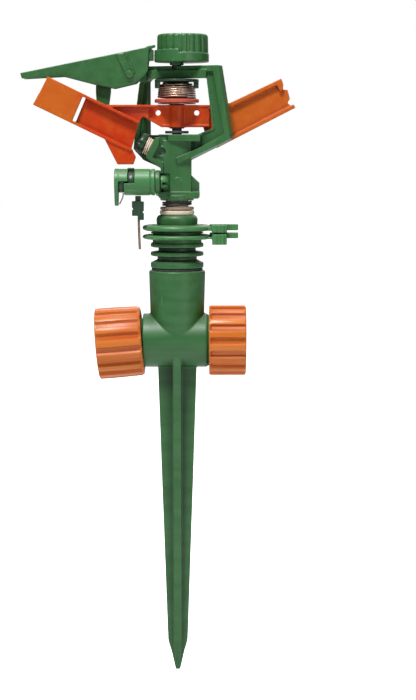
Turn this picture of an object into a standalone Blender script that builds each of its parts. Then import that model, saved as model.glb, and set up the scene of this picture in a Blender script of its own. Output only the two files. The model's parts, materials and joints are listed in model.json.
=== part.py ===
"""Impact sprinkler on a ground spike: a swivelling head with a sprung arm, on a tee with two
hose couplings. Metres, +Z up, the head turns about Z, and the spike's tip is the origin."""

import math

import bmesh
import bpy
from mathutils import Matrix, Vector

MM = 0.001

# Driving dimensions. Heights are millimetres above the underside of the tee.
TEE_BOTTOM = 154.3
GAP = 0.3

TUBE_RADIUS = 13.3
TUBE_HEIGHT = 13.4
TUBE_BORE = 9.6
RISER_TOP = 48.2
RISER_TOP_RADIUS = 13.9
RISER_THREAD_BORE = 11.2
SPIKE_WIDTH = 19.1
SPIKE_THICKNESS = 3.9

CAP_RADIUS = 17.5
CAP_FLUTES = 16
CAP_BORE = 14.0
CAP_LENGTH = 18.3
COUPLING_LENGTH = 22.6
COUPLING_TILT = math.radians(4.4)

NIPPLE_RING = 13.0
NIPPLE_HUB = 12.0
COLLAR_RADIUS = 17.0
COLLAR_HOLE = 12.4
COLLAR_HEIGHTS = {"upper": 69.1, "lower": 64.7}
BEARING_RADIUS = 5.6
BEARING_HOLE = 6.1

COLUMN_RADIUS = 6.8
BRIDGE_YAW = math.radians(-24.0)
BRIDGE_WEB = 2.4
BRIDGE_RIM = 5.2
RIB_YAW = math.radians(-14.5)
NOZZLE_ANGLE = math.radians(25.0)
NOZZLE_Y = -1.5
NOZZLE_FOOT = (-6.0, 105.1)

SHAFT_RADIUS = 2.4
SHAFT_HOLE = 2.75
BAR_TOP = 128.8
BAR_BOTTOM = 118.05
BAR_DEPTH = 6.4
SEAT_RADIUS = 10.85

KNOB_BOTTOM = 149.3
KNOB_TOP = 162.8
GRIP_RADIUS = 12.35
GRIP_OFFSET = 2.9
CAM_RADIUS = 13.3
CAM_OFFSET = 2.4

PIVOT = (-23.0, 143.6)
DEFLECTOR_WALLS = (-1.1, 11.15)
WALL_THICKNESS = 1.4

TRIP_Y = -9.0
TRIP_HEIGHT = 91.6
DRUM_RADIUS = 6.4

GREEN = (0.035, 0.19, 0.075)
BRIGHT_GREEN = (0.07, 0.27, 0.11)
DARK_GREEN = (0.012, 0.07, 0.03)
ORANGE = (0.72, 0.13, 0.025)
RED = (0.33, 0.035, 0.02)
BLACK = (0.012, 0.012, 0.013)
CREAM = (0.72, 0.62, 0.48)
BROWN = (0.2, 0.11, 0.07)
STEEL = (0.55, 0.5, 0.45)


def collection(name):
    """A new collection in the scene."""
    made = bpy.data.collections.new(name)
    bpy.context.scene.collection.children.link(made)
    return made


def material(name, colour, roughness, metallic=0.0):
    """A plain Principled material."""
    made = bpy.data.materials.new(name)
    made.use_nodes = True
    shader = made.node_tree.nodes["Principled BSDF"]
    shader.inputs["Base Color"].default_value = (*colour, 1.0)
    shader.inputs["Roughness"].default_value = roughness
    shader.inputs["Metallic"].default_value = metallic
    return made


def from_bmesh(name, bm):
    """An object in the scene that holds a bmesh."""
    mesh = bpy.data.meshes.new(name)
    bm.to_mesh(mesh)
    bm.free()
    made = bpy.data.objects.new(name, mesh)
    bpy.context.scene.collection.objects.link(made)
    return made


def box(name, low, high):
    """A box between two corners, in millimetres with Z above the tee's underside."""
    bm = bmesh.new()
    bmesh.ops.create_cube(bm, size=1.0)
    size = [(b - a) * MM for a, b in zip(low, high)]
    middle = [(a + b) / 2 * MM for a, b in zip(low, high)]
    middle[2] += TEE_BOTTOM * MM
    bmesh.ops.transform(bm, matrix=Matrix.Diagonal((*size, 1.0)), verts=bm.verts)
    made = from_bmesh(name, bm)
    made.location = middle
    return made


def rod(name, start, end, radius, end_radius=None, sides=32):
    """A closed cylinder or cone between two points, in millimetres above the tee."""
    a = Vector(start) * MM
    b = Vector(end) * MM
    a.z += TEE_BOTTOM * MM
    b.z += TEE_BOTTOM * MM
    tip = radius if end_radius is None else end_radius
    bm = bmesh.new()
    bmesh.ops.create_cone(
        bm,
        cap_ends=True,
        segments=sides,
        radius1=radius * MM,
        radius2=tip * MM,
        depth=(b - a).length,
    )
    made = from_bmesh(name, bm)
    made.location = (a + b) / 2
    made.rotation_euler = (b - a).to_track_quat("Z", "Y").to_euler()
    return made


def turned(name, profile, location=(0, 0, 0), tilt=(0, 0, 0), steps=32, closed=False):
    """A profile of radius and height, in millimetres, turned about its own Z axis.

    It runs down its outer side. A closed profile is a ring, and an open one ends on the axis."""
    mesh = bpy.data.meshes.new(name)
    points = [(r * MM, 0.0, h * MM) for r, h in profile]
    count = len(points)
    edges = [(i, i + 1) for i in range(count - 1)]
    if closed:
        edges.append((count - 1, 0))
    mesh.from_pydata(points, edges, [])
    made = bpy.data.objects.new(name, mesh)
    bpy.context.scene.collection.objects.link(made)
    screw = made.modifiers.new("turn", "SCREW")
    screw.axis = "Z"
    screw.steps = steps
    screw.render_steps = steps
    screw.use_merge_vertices = True
    screw.merge_threshold = 0.00001
    made.location = [v * MM for v in location]
    made.location.z += TEE_BOTTOM * MM
    made.rotation_euler = tilt
    return made


def plate(name, outlines, thickness, y=0.0, yaw=0.0, rounding=0.0):
    """Flat outlines of X and height, standing up, with their middle plane at Y."""
    curve = bpy.data.curves.new(name, "CURVE")
    curve.dimensions = "2D"
    curve.fill_mode = "BOTH"
    curve.extrude = (thickness / 2 - rounding) * MM
    curve.bevel_depth = rounding * MM
    curve.bevel_resolution = 0
    for outline in outlines:
        spline = curve.splines.new("POLY")
        spline.points.add(len(outline) - 1)
        for point, (x, h) in zip(spline.points, outline):
            point.co = (x * MM, h * MM, 0.0, 1.0)
        spline.use_cyclic_u = True
    flat = bpy.data.objects.new(name, curve)
    bpy.context.scene.collection.objects.link(flat)
    turn = Matrix.Rotation(yaw, 4, "Z") @ Matrix.Rotation(math.pi / 2, 4, "X")
    middle = Matrix.Rotation(yaw, 4, "Z") @ Vector((0.0, y * MM, 0.0))
    place = Matrix.Translation(middle + Vector((0, 0, TEE_BOTTOM * MM)))
    flat.matrix_world = place @ turn
    return as_mesh(flat)


def wire(name, route, radius, resolution=2):
    """A round wire with filled ends through points, in millimetres above the tee."""
    curve = bpy.data.curves.new(name, "CURVE")
    curve.dimensions = "3D"
    curve.bevel_depth = radius * MM
    curve.bevel_resolution = resolution
    curve.use_fill_caps = True
    spline = curve.splines.new("POLY")
    spline.points.add(len(route) - 1)
    for point, (x, y, h) in zip(spline.points, route):
        point.co = (x * MM, y * MM, (h + TEE_BOTTOM) * MM, 1.0)
    made = bpy.data.objects.new(name, curve)
    bpy.context.scene.collection.objects.link(made)
    return as_mesh(made)


def as_mesh(curved):
    """The mesh of a curve object, with its caps welded, in the curve's place."""
    bpy.context.view_layer.update()
    place = curved.matrix_world.copy()
    name = curved.name
    seen = curved.evaluated_get(bpy.context.evaluated_depsgraph_get())
    mesh = bpy.data.meshes.new_from_object(seen)
    bm = bmesh.new()
    bm.from_mesh(mesh)
    bmesh.ops.remove_doubles(bm, verts=bm.verts, dist=0.000002)
    bmesh.ops.recalc_face_normals(bm, faces=bm.faces)
    bm.to_mesh(mesh)
    bm.free()
    bpy.data.objects.remove(curved)
    made = bpy.data.objects.new(name, mesh)
    bpy.context.scene.collection.objects.link(made)
    made.matrix_world = place
    return made


def combine(target, tools, operation):
    """Joins or cuts a piece by other shapes, which become hidden tools."""
    for tool in tools:
        step = target.modifiers.new(operation.lower(), "BOOLEAN")
        step.operation = operation
        step.solver = "EXACT"
        step.object = tool
        tool.display_type = "WIRE"
        tool.hide_render = True
        for held in list(tool.users_collection):
            held.objects.unlink(tool)
        CUTTERS.objects.link(tool)
    return target


def join(target, *tools):
    """The union of a piece and other shapes."""
    return combine(target, tools, "UNION")


def cut(target, *tools):
    """A piece less other shapes."""
    return combine(target, tools, "DIFFERENCE")


def finish(piece, surface, parent=None):
    """Puts a piece in the sprinkler's collection with its material and parent."""
    for held in list(piece.users_collection):
        held.objects.unlink(piece)
    PARTS.objects.link(piece)
    piece.data.materials.clear()
    piece.data.materials.append(surface)
    if isinstance(piece.data, bpy.types.Mesh) and piece.data.polygons:
        piece.data.shade_smooth()
        piece.data.set_sharp_from_angle(angle=math.radians(35))
    if parent is not None:
        bpy.context.view_layer.update()
        place = piece.matrix_world.copy()
        piece.parent = parent
        piece.matrix_parent_inverse = parent.matrix_world.inverted()
        piece.matrix_world = place
    return piece


def pivot(name, point, parent=None):
    """An empty on a joint's axis, in millimetres above the tee."""
    made = bpy.data.objects.new(name, None)
    PARTS.objects.link(made)
    made.location = Vector((point[0], point[1], point[2] + TEE_BOTTOM)) * MM
    bpy.context.view_layer.update()
    if parent is not None:
        made.parent = parent
        made.matrix_parent_inverse = parent.matrix_world.inverted()
        bpy.context.view_layer.update()
    return made


def fluted_outline(radius, flutes, depth, samples=4):
    """A circle with broad rounded ribs and narrow valleys."""
    points = []
    for i in range(flutes * samples):
        turn = 2 * math.pi * i / (flutes * samples)
        rise = abs(math.cos(turn * flutes / 2)) ** 0.6
        r = radius - depth * (1 - rise)
        points.append((r * math.cos(turn), r * math.sin(turn)))
    return points


def lay_along_x(piece, x, height, tilt=0.0):
    """Turns a standing plate's thickness to lie along X, its middle at X and height."""
    place = Matrix.Translation(Vector((x, 0.0, height + TEE_BOTTOM)) * MM)
    turn = Matrix.Rotation(-tilt, 4, "Y") @ Matrix.Rotation(math.pi / 2, 4, "Z")
    piece.matrix_world = place @ turn @ Matrix.Rotation(math.pi / 2, 4, "X")
    return piece


def arc(centre, radius, start, end, steps):
    """Points round part of a circle, with its angles in degrees."""
    found = []
    for i in range(steps + 1):
        turn = math.radians(start + (end - start) * i / steps)
        found.append((centre[0] + radius * math.cos(turn), centre[1] + radius * math.sin(turn)))
    return found


def strip(points, width):
    """A band of a given width to the left of a run of points."""
    inner = []
    last = len(points) - 1
    for i, (x, h) in enumerate(points):
        ahead = Vector(points[min(i + 1, last)]) - Vector(points[max(i - 1, 0)])
        side = Vector((-ahead.y, ahead.x)).normalized() * width
        inner.append((x + side.x, h + side.y))
    return list(points) + inner[::-1]


# ---------------------------------------------------------------- stand


def make_spike_tee():
    """The ground spike, the cross tube with a spigot at each end, and the riser socket."""
    h = TUBE_HEIGHT
    profile = [
        (0, 28.5),
        (12.6, 28.5),
        (12.6, 14.9),
        (TUBE_RADIUS, 14.9),
        (TUBE_RADIUS, -16.9),
        (10.8, -16.9),
        (10.8, -25.6),
        (12.4, -25.6),
        (12.4, -27.6),
        (0, -27.6),
    ]
    tee = turned("spike_tee", profile, (0, 0, h), (0, math.pi / 2, 0))
    riser = turned(
        "riser", [(0, RISER_TOP), (RISER_TOP_RADIUS, RISER_TOP), (13.2, h), (0, h)]
    )
    half = SPIKE_WIDTH / 2
    tip = -TEE_BOTTOM
    side = [
        (half, 3.0),
        (half, -1.0),
        (7.8, -56.0),
        (4.95, -138.5),
        (4.4, -141.2),
        (3.5, -143.9),
        (1.5, tip + 1.6),
        (1.1, tip),
    ]
    front = [
        (11.9, 7.6),
        (10.1, -4.0),
        (9.0, -14.0),
        (7.3, -56.0),
        (4.7, -138.5),
        (4.1, -141.2),
        (3.3, -143.9),
        (1.3, tip + 1.6),
        (1.0, tip + 0.3),
    ]
    wide = plate("wide_blade", [side + mirrored(side)], SPIKE_THICKNESS)
    deep = plate("deep_blade", [front + mirrored(front)], SPIKE_THICKNESS, yaw=math.pi / 2)
    join(tee, riser, thinned(wide, -140.0, 0.55), thinned(deep, -140.0, 0.55))
    bore = rod("tube_bore", (-40, 0, h), (40, 0, h), TUBE_BORE)
    thread = rod("riser_thread_bore", (0, 0, 30.0), (0, 0, 60), RISER_THREAD_BORE, sides=48)
    rise = rod("riser_bore", (0, 0, h), (0, 0, 31), 9.3)
    return cut(tee, bore, thread, rise)


def thinned(blade, start, share):
    """Thins a standing plate's foot evenly, from a height down to its lowest point."""
    lowest = min(vertex.co.y for vertex in blade.data.vertices)
    for vertex in blade.data.vertices:
        depth = (start * MM - vertex.co.y) / (start * MM - lowest)
        vertex.co.z *= 1 - (1 - share) * max(depth, 0.0)
    return blade


def mirrored(points):
    """The same points on the other side, in reverse, without one on the middle line."""
    return [(-x, h) for x, h in reversed(points) if x > 0]


def make_end_cap():
    """The fluted plug on the closed end of the tube, with a plain flange."""
    outline = fluted_outline(CAP_RADIUS - 1.0, CAP_FLUTES, 1.3)
    cap = plate("end_cap", [outline], CAP_LENGTH - 2.0, rounding=1.0)
    lay_along_x(cap, 15.7 + 2.0 + (CAP_LENGTH - 2.0) / 2, TUBE_HEIGHT)
    flange = rod("cap_flange", (15.7, 0, TUBE_HEIGHT), (18.4, 0, TUBE_HEIGHT), 17.3, sides=64)
    socket = rod("cap_socket", (10, 0, TUBE_HEIGHT), (31.4, 0, TUBE_HEIGHT), 13.2)
    return cut(join(cap, flange), socket)


def make_inlet_coupling():
    """The loose hose coupling, hanging slightly askew on its spigot."""
    middle = coupling_point(COUPLING_LENGTH / 2)
    outline = fluted_outline(CAP_RADIUS - 1.2, CAP_FLUTES, 1.4)
    body = plate("inlet_coupling", [outline], COUPLING_LENGTH, rounding=1.2)
    lay_along_x(body, middle[0], middle[2], COUPLING_TILT)
    tube_room = rod("tube_room", coupling_point(-2), coupling_point(1.4), 14.0, sides=48)
    neck = rod("coupling_neck", coupling_point(-2), coupling_point(5), 12.1)
    room = rod("coupling_room", coupling_point(4), coupling_point(18), CAP_BORE, sides=48)
    socket = rod("coupling_socket", coupling_point(17), coupling_point(30), 13.2, sides=48)
    return cut(body, tube_room, neck, room, socket)


def coupling_point(distance):
    """A point on the coupling's own axis, that far out from its inner face."""
    x = -17.15 - distance * math.cos(COUPLING_TILT)
    return (x, 0.0, 13.2 - distance * math.sin(COUPLING_TILT))


def ring(name, outer, inner, low, high, steps=32):
    """A flat ring about the head's axis."""
    profile = [(outer, high), (outer, low), (inner, low), (inner, high)]
    return turned(name, profile, steps=steps, closed=True)


def make_nipple():
    """The threaded bearing sleeve with three rings and the hub for the trip collars."""
    profile = [
        (NIPPLE_HUB, 70.7),
        (NIPPLE_HUB, 67.1),
        (12.9, 67.0),
        (12.9, 66.6),
        (NIPPLE_HUB, 66.5),
        (NIPPLE_HUB, 61.9),
        (NIPPLE_RING, 61.5),
        (NIPPLE_RING, 59.8),
        (9.2, 59.4),
        (9.2, 57.6),
        (NIPPLE_RING, 57.2),
        (NIPPLE_RING, 55.6),
        (9.7, 55.2),
        (9.7, 52.6),
        (NIPPLE_RING, 52.2),
        (NIPPLE_RING, 49.5),
        (10.9, 49.5),
        (10.9, 36.0),
        (BEARING_HOLE, 36.0),
        (BEARING_HOLE, 70.7),
    ]
    return turned("base_nipple", profile, closed=True)


def make_bearing_nut():
    """The domed nut over the sleeve."""
    profile = [(8.4, 75.4), (9.7, 74.4), (10.1, 73.4), (10.1, 71.0)]
    profile += [(BEARING_HOLE, 71.0), (BEARING_HOLE, 75.4)]
    return turned("bearing_nut", profile, closed=True)


def make_bearing_tube():
    """The hollow spindle that carries the head, with its foot flange."""
    profile = [
        (BEARING_RADIUS, 90.0),
        (BEARING_RADIUS, 33.9),
        (8.2, 33.9),
        (8.2, 32.5),
        (4.0, 32.5),
        (4.0, 90.0),
    ]
    return turned("bearing_tube", profile, closed=True, steps=32)


def helix(radius, low, high, turns, end_radius=None, points=14, start=0.0):
    """Points along a coil about the head's axis, from a start in turns."""
    last = radius if end_radius is None else end_radius
    count = int(turns * points)
    route = []
    for i in range(count + 1):
        share = i / count
        turn = 2 * math.pi * (start + turns * share)
        r = radius + (last - radius) * share
        route.append((r * math.cos(turn), r * math.sin(turn), low + (high - low) * share))
    return route


def make_trip_collar(level):
    """A split clip ring round the sleeve, with its two finger tabs."""
    h = COLLAR_HEIGHTS[level]
    deep = 1.6 if level == "upper" else 1.3
    profile = [
        (COLLAR_RADIUS - 1.2, h + deep * 0.8),
        (COLLAR_RADIUS, h + deep * 0.35),
        (COLLAR_RADIUS, h - deep * 0.35),
        (COLLAR_RADIUS - 1.2, h - deep * 0.8),
        (COLLAR_HOLE, h - deep * 0.8),
        (COLLAR_HOLE, h + deep * 0.8),
    ]
    name = "trip_collar_" + level
    collar = turned(name, profile, closed=True, steps=40)
    if level == "upper":
        front = box("front_tab", (17.0, -8.4, 67.1), (24.5, -5.6, 70.6))
        rear = box("rear_tab", (16.0, -4.6, 68.0), (30.0, -1.6, 71.0))
        front_arm = box("front_arm", (13.6, -8.0, 67.9), (17.4, -6.0, 70.0))
        rear_arm = box("rear_arm", (15.0, -4.2, 68.2), (16.4, -2.0, 70.2))
    else:
        front = box("front_tab", (17.2, -8.4, 61.1), (24.4, -5.6, 66.2))
        rear = box("rear_tab", (16.0, -4.6, 64.1), (30.0, -1.6, 66.9))
        front_arm = box("front_arm", (13.6, -8.0, 63.9), (17.6, -6.0, 64.9))
        rear_arm = box("rear_arm", (15.0, -4.2, 64.4), (16.4, -2.0, 65.5))
    return join(collar, front_arm, rear_arm, front, rear)


# ---------------------------------------------------------------- head


def nozzle_point(distance, side=0.0):
    """A point along the nozzle's axis, and to the upper side of it."""
    c = math.cos(NOZZLE_ANGLE)
    s = math.sin(NOZZLE_ANGLE)
    x = NOZZLE_FOOT[0] - distance * c + side * s
    return (x, NOZZLE_Y, NOZZLE_FOOT[1] + distance * s + side * c)


def bridge_outline(inset):
    """The outer edge of the bridge in its own plane, moved in by an inset."""
    corner = arc((-13.6, 144.4 - inset * 0.2), 3.2 - inset * 0.4, 170, 90, 4)
    return [
        (23.1 - inset, 147.6 - inset),
        *[(x + inset * 0.8, h - inset * 0.8) for x, h in reversed(corner)],
        (-19.2 + inset, 139.0),
        (-20.6 + inset, 129.4),
        (-22.5 + inset, 107.4 + inset * 0.4),
        (-17.0 + inset * 0.4, 102.0 + inset),
        (-9.8, 99.2 + inset),
        (0.5, 99.2 + inset),
        (27.2 - inset, 111.4 + inset * 0.9),
        (29.0 - inset, 113.6 + inset * 0.5),
    ]


def make_head_body():
    """The cast head: flange, column, bridge, nozzle boss and the trip and deflector lugs."""
    column = turned(
        "head_body",
        [
            (0, 114.0),
            (COLUMN_RADIUS, 114.0),
            (COLUMN_RADIUS, 85.0),
            (8.2, 85.0),
            (8.2, 82.5),
            (0, 82.5),
        ],
    )
    window = [
        (16.5, 141.8),
        (-14.8, 141.8),
        (-14.8, 114.3),
        (10.8, 114.3),
        (19.7, 117.5),
    ]
    left_pocket = [(-14.8, 112.0), (-17.2, 109.0), (-15.4, 105.4), (-8.0, 103.2), (-8.0, 112.0)]
    web = plate("bridge_web", [bridge_outline(0.3), window, left_pocket], BRIDGE_WEB, yaw=BRIDGE_YAW)
    edge = [bridge_outline(0.0), bridge_outline(2.9)]
    rim = plate("bridge_rim", edge, BRIDGE_RIM, yaw=BRIDGE_YAW)
    table = plate(
        "bridge_table", [[(-8.4, 111.3), (13.4, 111.3), (13.4, 114.6), (-8.4, 114.6)]], 7.4,
        yaw=BRIDGE_YAW,
    )
    beam = plate(
        "bridge_beam", [[(-14.0, 141.6), (17.0, 141.6), (17.0, 145.6), (-14.0, 145.6)]], 7.0,
        yaw=BRIDGE_YAW,
    )
    block = box("column_block", (-6.6, -5.7, 85.5), (7.1, 5.7, 111.6))
    flange_edge = [(-9.1, 86.8), (-9.1, 84.6), (-8.0, 83.5), (10.2, 83.5), (11.1, 84.2), (11.1, 86.8)]
    flange = plate("flange", [flange_edge], 13.0)
    gusset = plate("gusset", [[(5.0, 95.8), (7.1, 94.7), (11.0, 91.0), (11.0, 86.0), (5.0, 86.0)]], 9.6)
    rib = plate("front_rib", [front_rib_outline()], 4.0, y=-4.37, yaw=RIB_YAW)
    ledge_edge = [(-2.6, 111.2), (13.8, 111.2), (13.8, 114.5), (-2.6, 114.5)]
    ledge = plate("front_ledge", [ledge_edge], 5.0, y=-4.7, yaw=RIB_YAW)
    frame = plate("boss_frame", [boss_frame_outline()], 4.8, y=-4.6)
    panel_edge = [(-10.0, 113.0), (-14.4, 103.7), (-7.0, 100.4), (-5.0, 100.4), (-5.0, 113.0)]
    panel = plate("boss_panel", [panel_edge], 1.2, y=-5.4)
    boss = rod("nozzle_boss", nozzle_point(-6.0), nozzle_point(4.4), 4.6, sides=32)
    lug = plate_yz("trip_lug", lug_outline(), 2.2, -9.2)
    foot = box("lug_foot", (-10.4, -4.6, 86.2), (-3.0, 1.6, 93.0))
    ear = plate("pivot_ear", [ear_outline()], 3.0, y=4.7)
    boss_y = (0.2, 9.9)
    ear_boss = rod("ear_boss", (PIVOT[0], boss_y[0], PIVOT[1]), (PIVOT[0], boss_y[1], PIVOT[1]), 2.6)
    join(column, block, flange, web, rim, table, beam, gusset, rib, ledge, frame, panel)
    join(column, boss, lug, foot, ear, ear_boss)
    hole = rod("shaft_hole", (0, 0, 110.0), (0, 0, 160), SHAFT_HOLE)
    socket = rod("spindle_socket", (0, 0, 80), (0, 0, 90.3), BEARING_RADIUS + GAP)
    water = rod("waterway", (0, 0, 85), (0, 0, 107), 4.0)
    jet = rod("nozzle_bore", nozzle_point(-5.6), nozzle_point(9), 3.1)
    insert_room = rod("insert_room", nozzle_point(4.6), nozzle_point(10.6), 4.5, sides=32)
    pin_hole = rod("pin_hole", (PIVOT[0], -5, PIVOT[1]), (PIVOT[0], 15, PIVOT[1]), 1.5)
    trip_hole = rod("trip_hole", (-14, TRIP_Y, TRIP_HEIGHT), (-6.5, TRIP_Y, TRIP_HEIGHT), 2.3)
    return cut(column, hole, socket, water, jet, insert_room, pin_hole, trip_hole)


def front_rib_outline():
    """The rib that runs from the column's front out to the bridge's low corner."""
    return [(1.5, 100.1), (1.5, 103.1), (26.6, 114.3), (28.9, 112.6)]


def boss_frame_outline():
    """The raised frame round the nozzle boss, as a band of X and height."""
    outer = [(-10.4, 113.1), (-15.0, 103.5), (-9.8, 99.5), (-7.8, 98.3), (-7.8, 94.3)]
    inner = [(-6.6, 94.3), (-6.6, 101.1), (-11.8, 103.5), (-8.6, 109.5), (-8.0, 113.1)]
    return outer + inner


def plate_yz(name, outline, thickness, x):
    """A flat outline of Y and height, with its middle plane at X."""
    made = plate(name, [outline], thickness)
    place = Matrix.Translation(Vector((x, 0.0, TEE_BOTTOM)) * MM)
    made.matrix_world = place @ Matrix.Rotation(math.pi / 2, 4, "Z") @ Matrix.Rotation(math.pi / 2, 4, "X")
    return made


def lug_outline():
    """The trip lug's edge: round at the pin and square where it meets the column."""
    nose = arc((TRIP_Y, TRIP_HEIGHT), 5.8, 90, 270, 10)
    return [(1.5, 84.6), (1.5, 93.5), *nose]


def ear_outline():
    """The deflector lug's edge, round at the pivot."""
    nose = arc(PIVOT, 3.0, 90, 270, 8)
    return [(-15.0, 140.2), (-15.0, 146.8), *nose]


def make_nozzle():
    """The threaded insert and the cap at the mouth of the nozzle."""
    tilt = (0, -(math.pi / 2 - NOZZLE_ANGLE), 0)
    foot = (*nozzle_point(0)[:2], nozzle_point(0)[2])
    crests = []
    for i in range(5):
        low = 9.4 - i * 1.0
        crests += [(4.25, low + 0.5), (3.9, low)]
    insert = [(3.6, 10.4), *crests, (4.25, 4.8), (2.8, 4.8), (2.0, 10.4)]
    cap = [(3.6, 14.2), (4.6, 13.6), (5.2, 12.6), (5.2, 10.7), (1.9, 10.7), (1.9, 13.2), (3.0, 14.2)]
    made = turned("nozzle_insert", insert, foot, tilt, steps=32, closed=True)
    end = turned("nozzle_cap", cap, foot, tilt, steps=32, closed=True)
    return made, end


def make_knob():
    """The distance knob: an eccentric fluted grip on a cam flange, with a neck."""
    grip = plate("adjusting_knob", [fluted_outline(GRIP_RADIUS - 0.9, 20, 0.8)], 9.6, rounding=0.9)
    place = Vector((GRIP_OFFSET, 0.0, TEE_BOTTOM + KNOB_TOP - 4.8)) * MM
    grip.matrix_world = Matrix.Translation(place)
    cam = rod("cam", (CAM_OFFSET, 0, KNOB_BOTTOM), (CAM_OFFSET, 0, 153.7), CAM_RADIUS, sides=64)
    raised = arc((CAM_OFFSET, 0), CAM_RADIUS - 0.05, 150, 265, 14) + [(CAM_OFFSET, 0)]
    step = plate("cam_step", [raised], 2.4)
    step.matrix_world = Matrix.Translation(Vector((0, 0, TEE_BOTTOM + 153.9)) * MM)
    neck = rod("knob_neck", (0, 0, 147.95), (0, 0, 151), 3.4)
    bore = rod("knob_bore", (0, 0, 140), (0, 0, 158.4), SHAFT_HOLE)
    return cut(join(grip, cam, step, neck), bore)


def deflector_outline():
    """One side wall of the deflector."""
    return [
        (-13.4, 156.8),
        (-76.1, 144.2),
        (-75.3, 141.5),
        (-55.3, 142.6),
        (-40.1, 138.7),
        (-30.5, 136.7),
        (-20.0, 139.2),
        (-15.3, 143.2),
        (-14.0, 145.2),
    ]


def make_deflector():
    """The jet deflector: two side walls, a roof, a hanging tongue and a cam follower."""
    near, far = DEFLECTOR_WALLS
    wall = plate("deflector", [deflector_outline()], WALL_THICKNESS, y=near)
    other = plate("far_wall", [deflector_outline()], WALL_THICKNESS, y=far)
    roof_line = [(-13.6, 156.6), (-75.9, 144.1)]
    roof = plate("roof", [strip(roof_line, 1.5)], far - near + 0.6, y=(near + far) / 2)
    follower = box("follower", (-15.0, near + 0.2, 150.4), (-11.4, far - 0.2, 155.4))
    finger = plate("finger", [[(-14.6, 155.2), (-10.3, 156.4), (-10.3, 157.8), (-14.6, 157.0)]], 1.2, y=near)
    tongue = plate(
        "tongue",
        [[(-39.4, 150.6), (-32.0, 152.2), (-32.2, 135.0), (-33.8, 124.0), (-38.8, 123.4), (-39.6, 135.0)]],
        2.6, y=3.2,
    )
    hole = rod("hinge_hole", (PIVOT[0], -6, PIVOT[1]), (PIVOT[0], 16, PIVOT[1]), 1.5)
    return cut(join(wall, other, roof, follower, finger, tongue), hole)


def make_impact_arm():
    """The swinging arm: hub bar, drive paddle with its slot and fin, and the balance wing."""
    depth = BAR_DEPTH
    bar = [(-18.0, BAR_TOP), (16.0, BAR_TOP), (16.0, BAR_BOTTOM), (-7.5, BAR_BOTTOM), (-16.8, 123.4)]
    arm = plate("impact_arm", [bar], depth)
    neck = plate(
        "neck",
        [[(-33.8, BAR_TOP - 0.1), (-14.0, BAR_TOP - 0.1), (-14.0, 121.9), (-16.8, 123.3), (-19.2, 119.8)]],
        7.1, y=-2.8,
    )
    front = -9.4
    rim_y = (front - 4.3) / 2
    rim_depth = 5.1
    top_edge = [(-18.0, 120.4), (-62.3, 141.9)]
    low_edge = [(-69.1, 129.2), (-34.9, 112.8), (-21.8, 106.5)]
    top_rim = plate("top_rim", [strip(top_edge, 2.1)], rim_depth, y=rim_y)
    low_rim = plate("low_rim", [strip(low_edge, 2.1)], rim_depth, y=rim_y)
    web = plate(
        "paddle_web", [[(-44.0, 132.0), (-18.5, 119.8), (-22.0, 107.4), (-34.9, 113.4), (-49.4, 120.4)]],
        1.2, y=-4.95,
    )
    panel_edge = [(-62.2, 141.5), (-45.9, 133.4), (-51.3, 121.2), (-68.7, 129.5)]
    panel = plate("paddle_panel", [panel_edge], 1.9, y=front + 1.0)
    wall_edge = [(-69.0, 129.3), (-66.3, 134.3), (-64.6, 133.4), (-67.2, 128.5)]
    end_wall = plate("spoon_wall", [wall_edge], 13.0, y=-2.6)
    fin_edge = [(-35.2, 112.9), (-28.7, 100.1), (-21.0, 100.1), (-19.8, 103.7), (-21.7, 107.5)]
    fin = plate("fin", [fin_edge], 3.8, y=-6.7)
    wing_top = [(50.7, 141.5), (25.7, 129.7), (15.0, BAR_TOP - 0.15)]
    wing_low = [(13.0, 117.5), (14.2, 113.6), (19.5, 107.9), (57.7, 127.4)]
    notches = [(55.6, 128.6), (53.9, 129.7), (55.1, 131.8), (53.9, 136.2), (51.6, 136.2), (51.9, 138.6)]
    wing = plate("wing_web", [wing_low + notches + wing_top], 2.4)
    wing_top_rim = plate("wing_top_rim", [strip(wing_top, 2.0)], depth - 0.2)
    wing_low_rim = plate("wing_low_rim", [strip(wing_low[1:], 2.0)], depth - 0.2)
    lobe_edge = [(48.6, 138.5), (50.5, 141.2), (51.8, 138.6), (51.5, 136.4), (50.2, 135.2)]
    wing_end = plate("wing_end", [lobe_edge], depth - 0.4)
    hub = rod("arm_hub", (0, 0, BAR_BOTTOM - 0.2), (0, 0, BAR_TOP + 0.1), 4.9)
    join(arm, neck, top_rim, low_rim, web, panel, end_wall, fin, hub)
    join(arm, wing, wing_top_rim, wing_low_rim, wing_end)
    bore = rod("hub_bore", (0, 0, 110), (0, 0, 135), 3.9)
    holes = []
    for x in (-9.1, 9.7):
        holes.append(rod(f"cross_hole_{len(holes)}", (x, -8, 125.0), (x, 8, 125.0), 1.3, sides=16))
    return cut(arm, bore, *holes)


def make_spring_retainer():
    """The crown under the bridge that holds the spring's upper end, with hanging teeth."""
    crown = ring("spring_retainer", 10.8, 3.1, 140.0, 141.2)
    teeth = []
    for i in range(8):
        turn = math.radians(22.5 + 45 * i)
        if abs(math.degrees(turn) - 270) < 30:
            continue
        x = 10.0 * math.cos(turn)
        y = 10.0 * math.sin(turn)
        tooth = box(f"tooth_{i}", (-0.75, -1.6, 138.3), (0.75, 1.6, 140.4))
        tooth.location.x = x * MM
        tooth.location.y = y * MM
        tooth.rotation_euler = (0, 0, turn)
        teeth.append(tooth)
    return join(crown, *teeth)


# ---------------------------------------------------------------- trip


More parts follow.
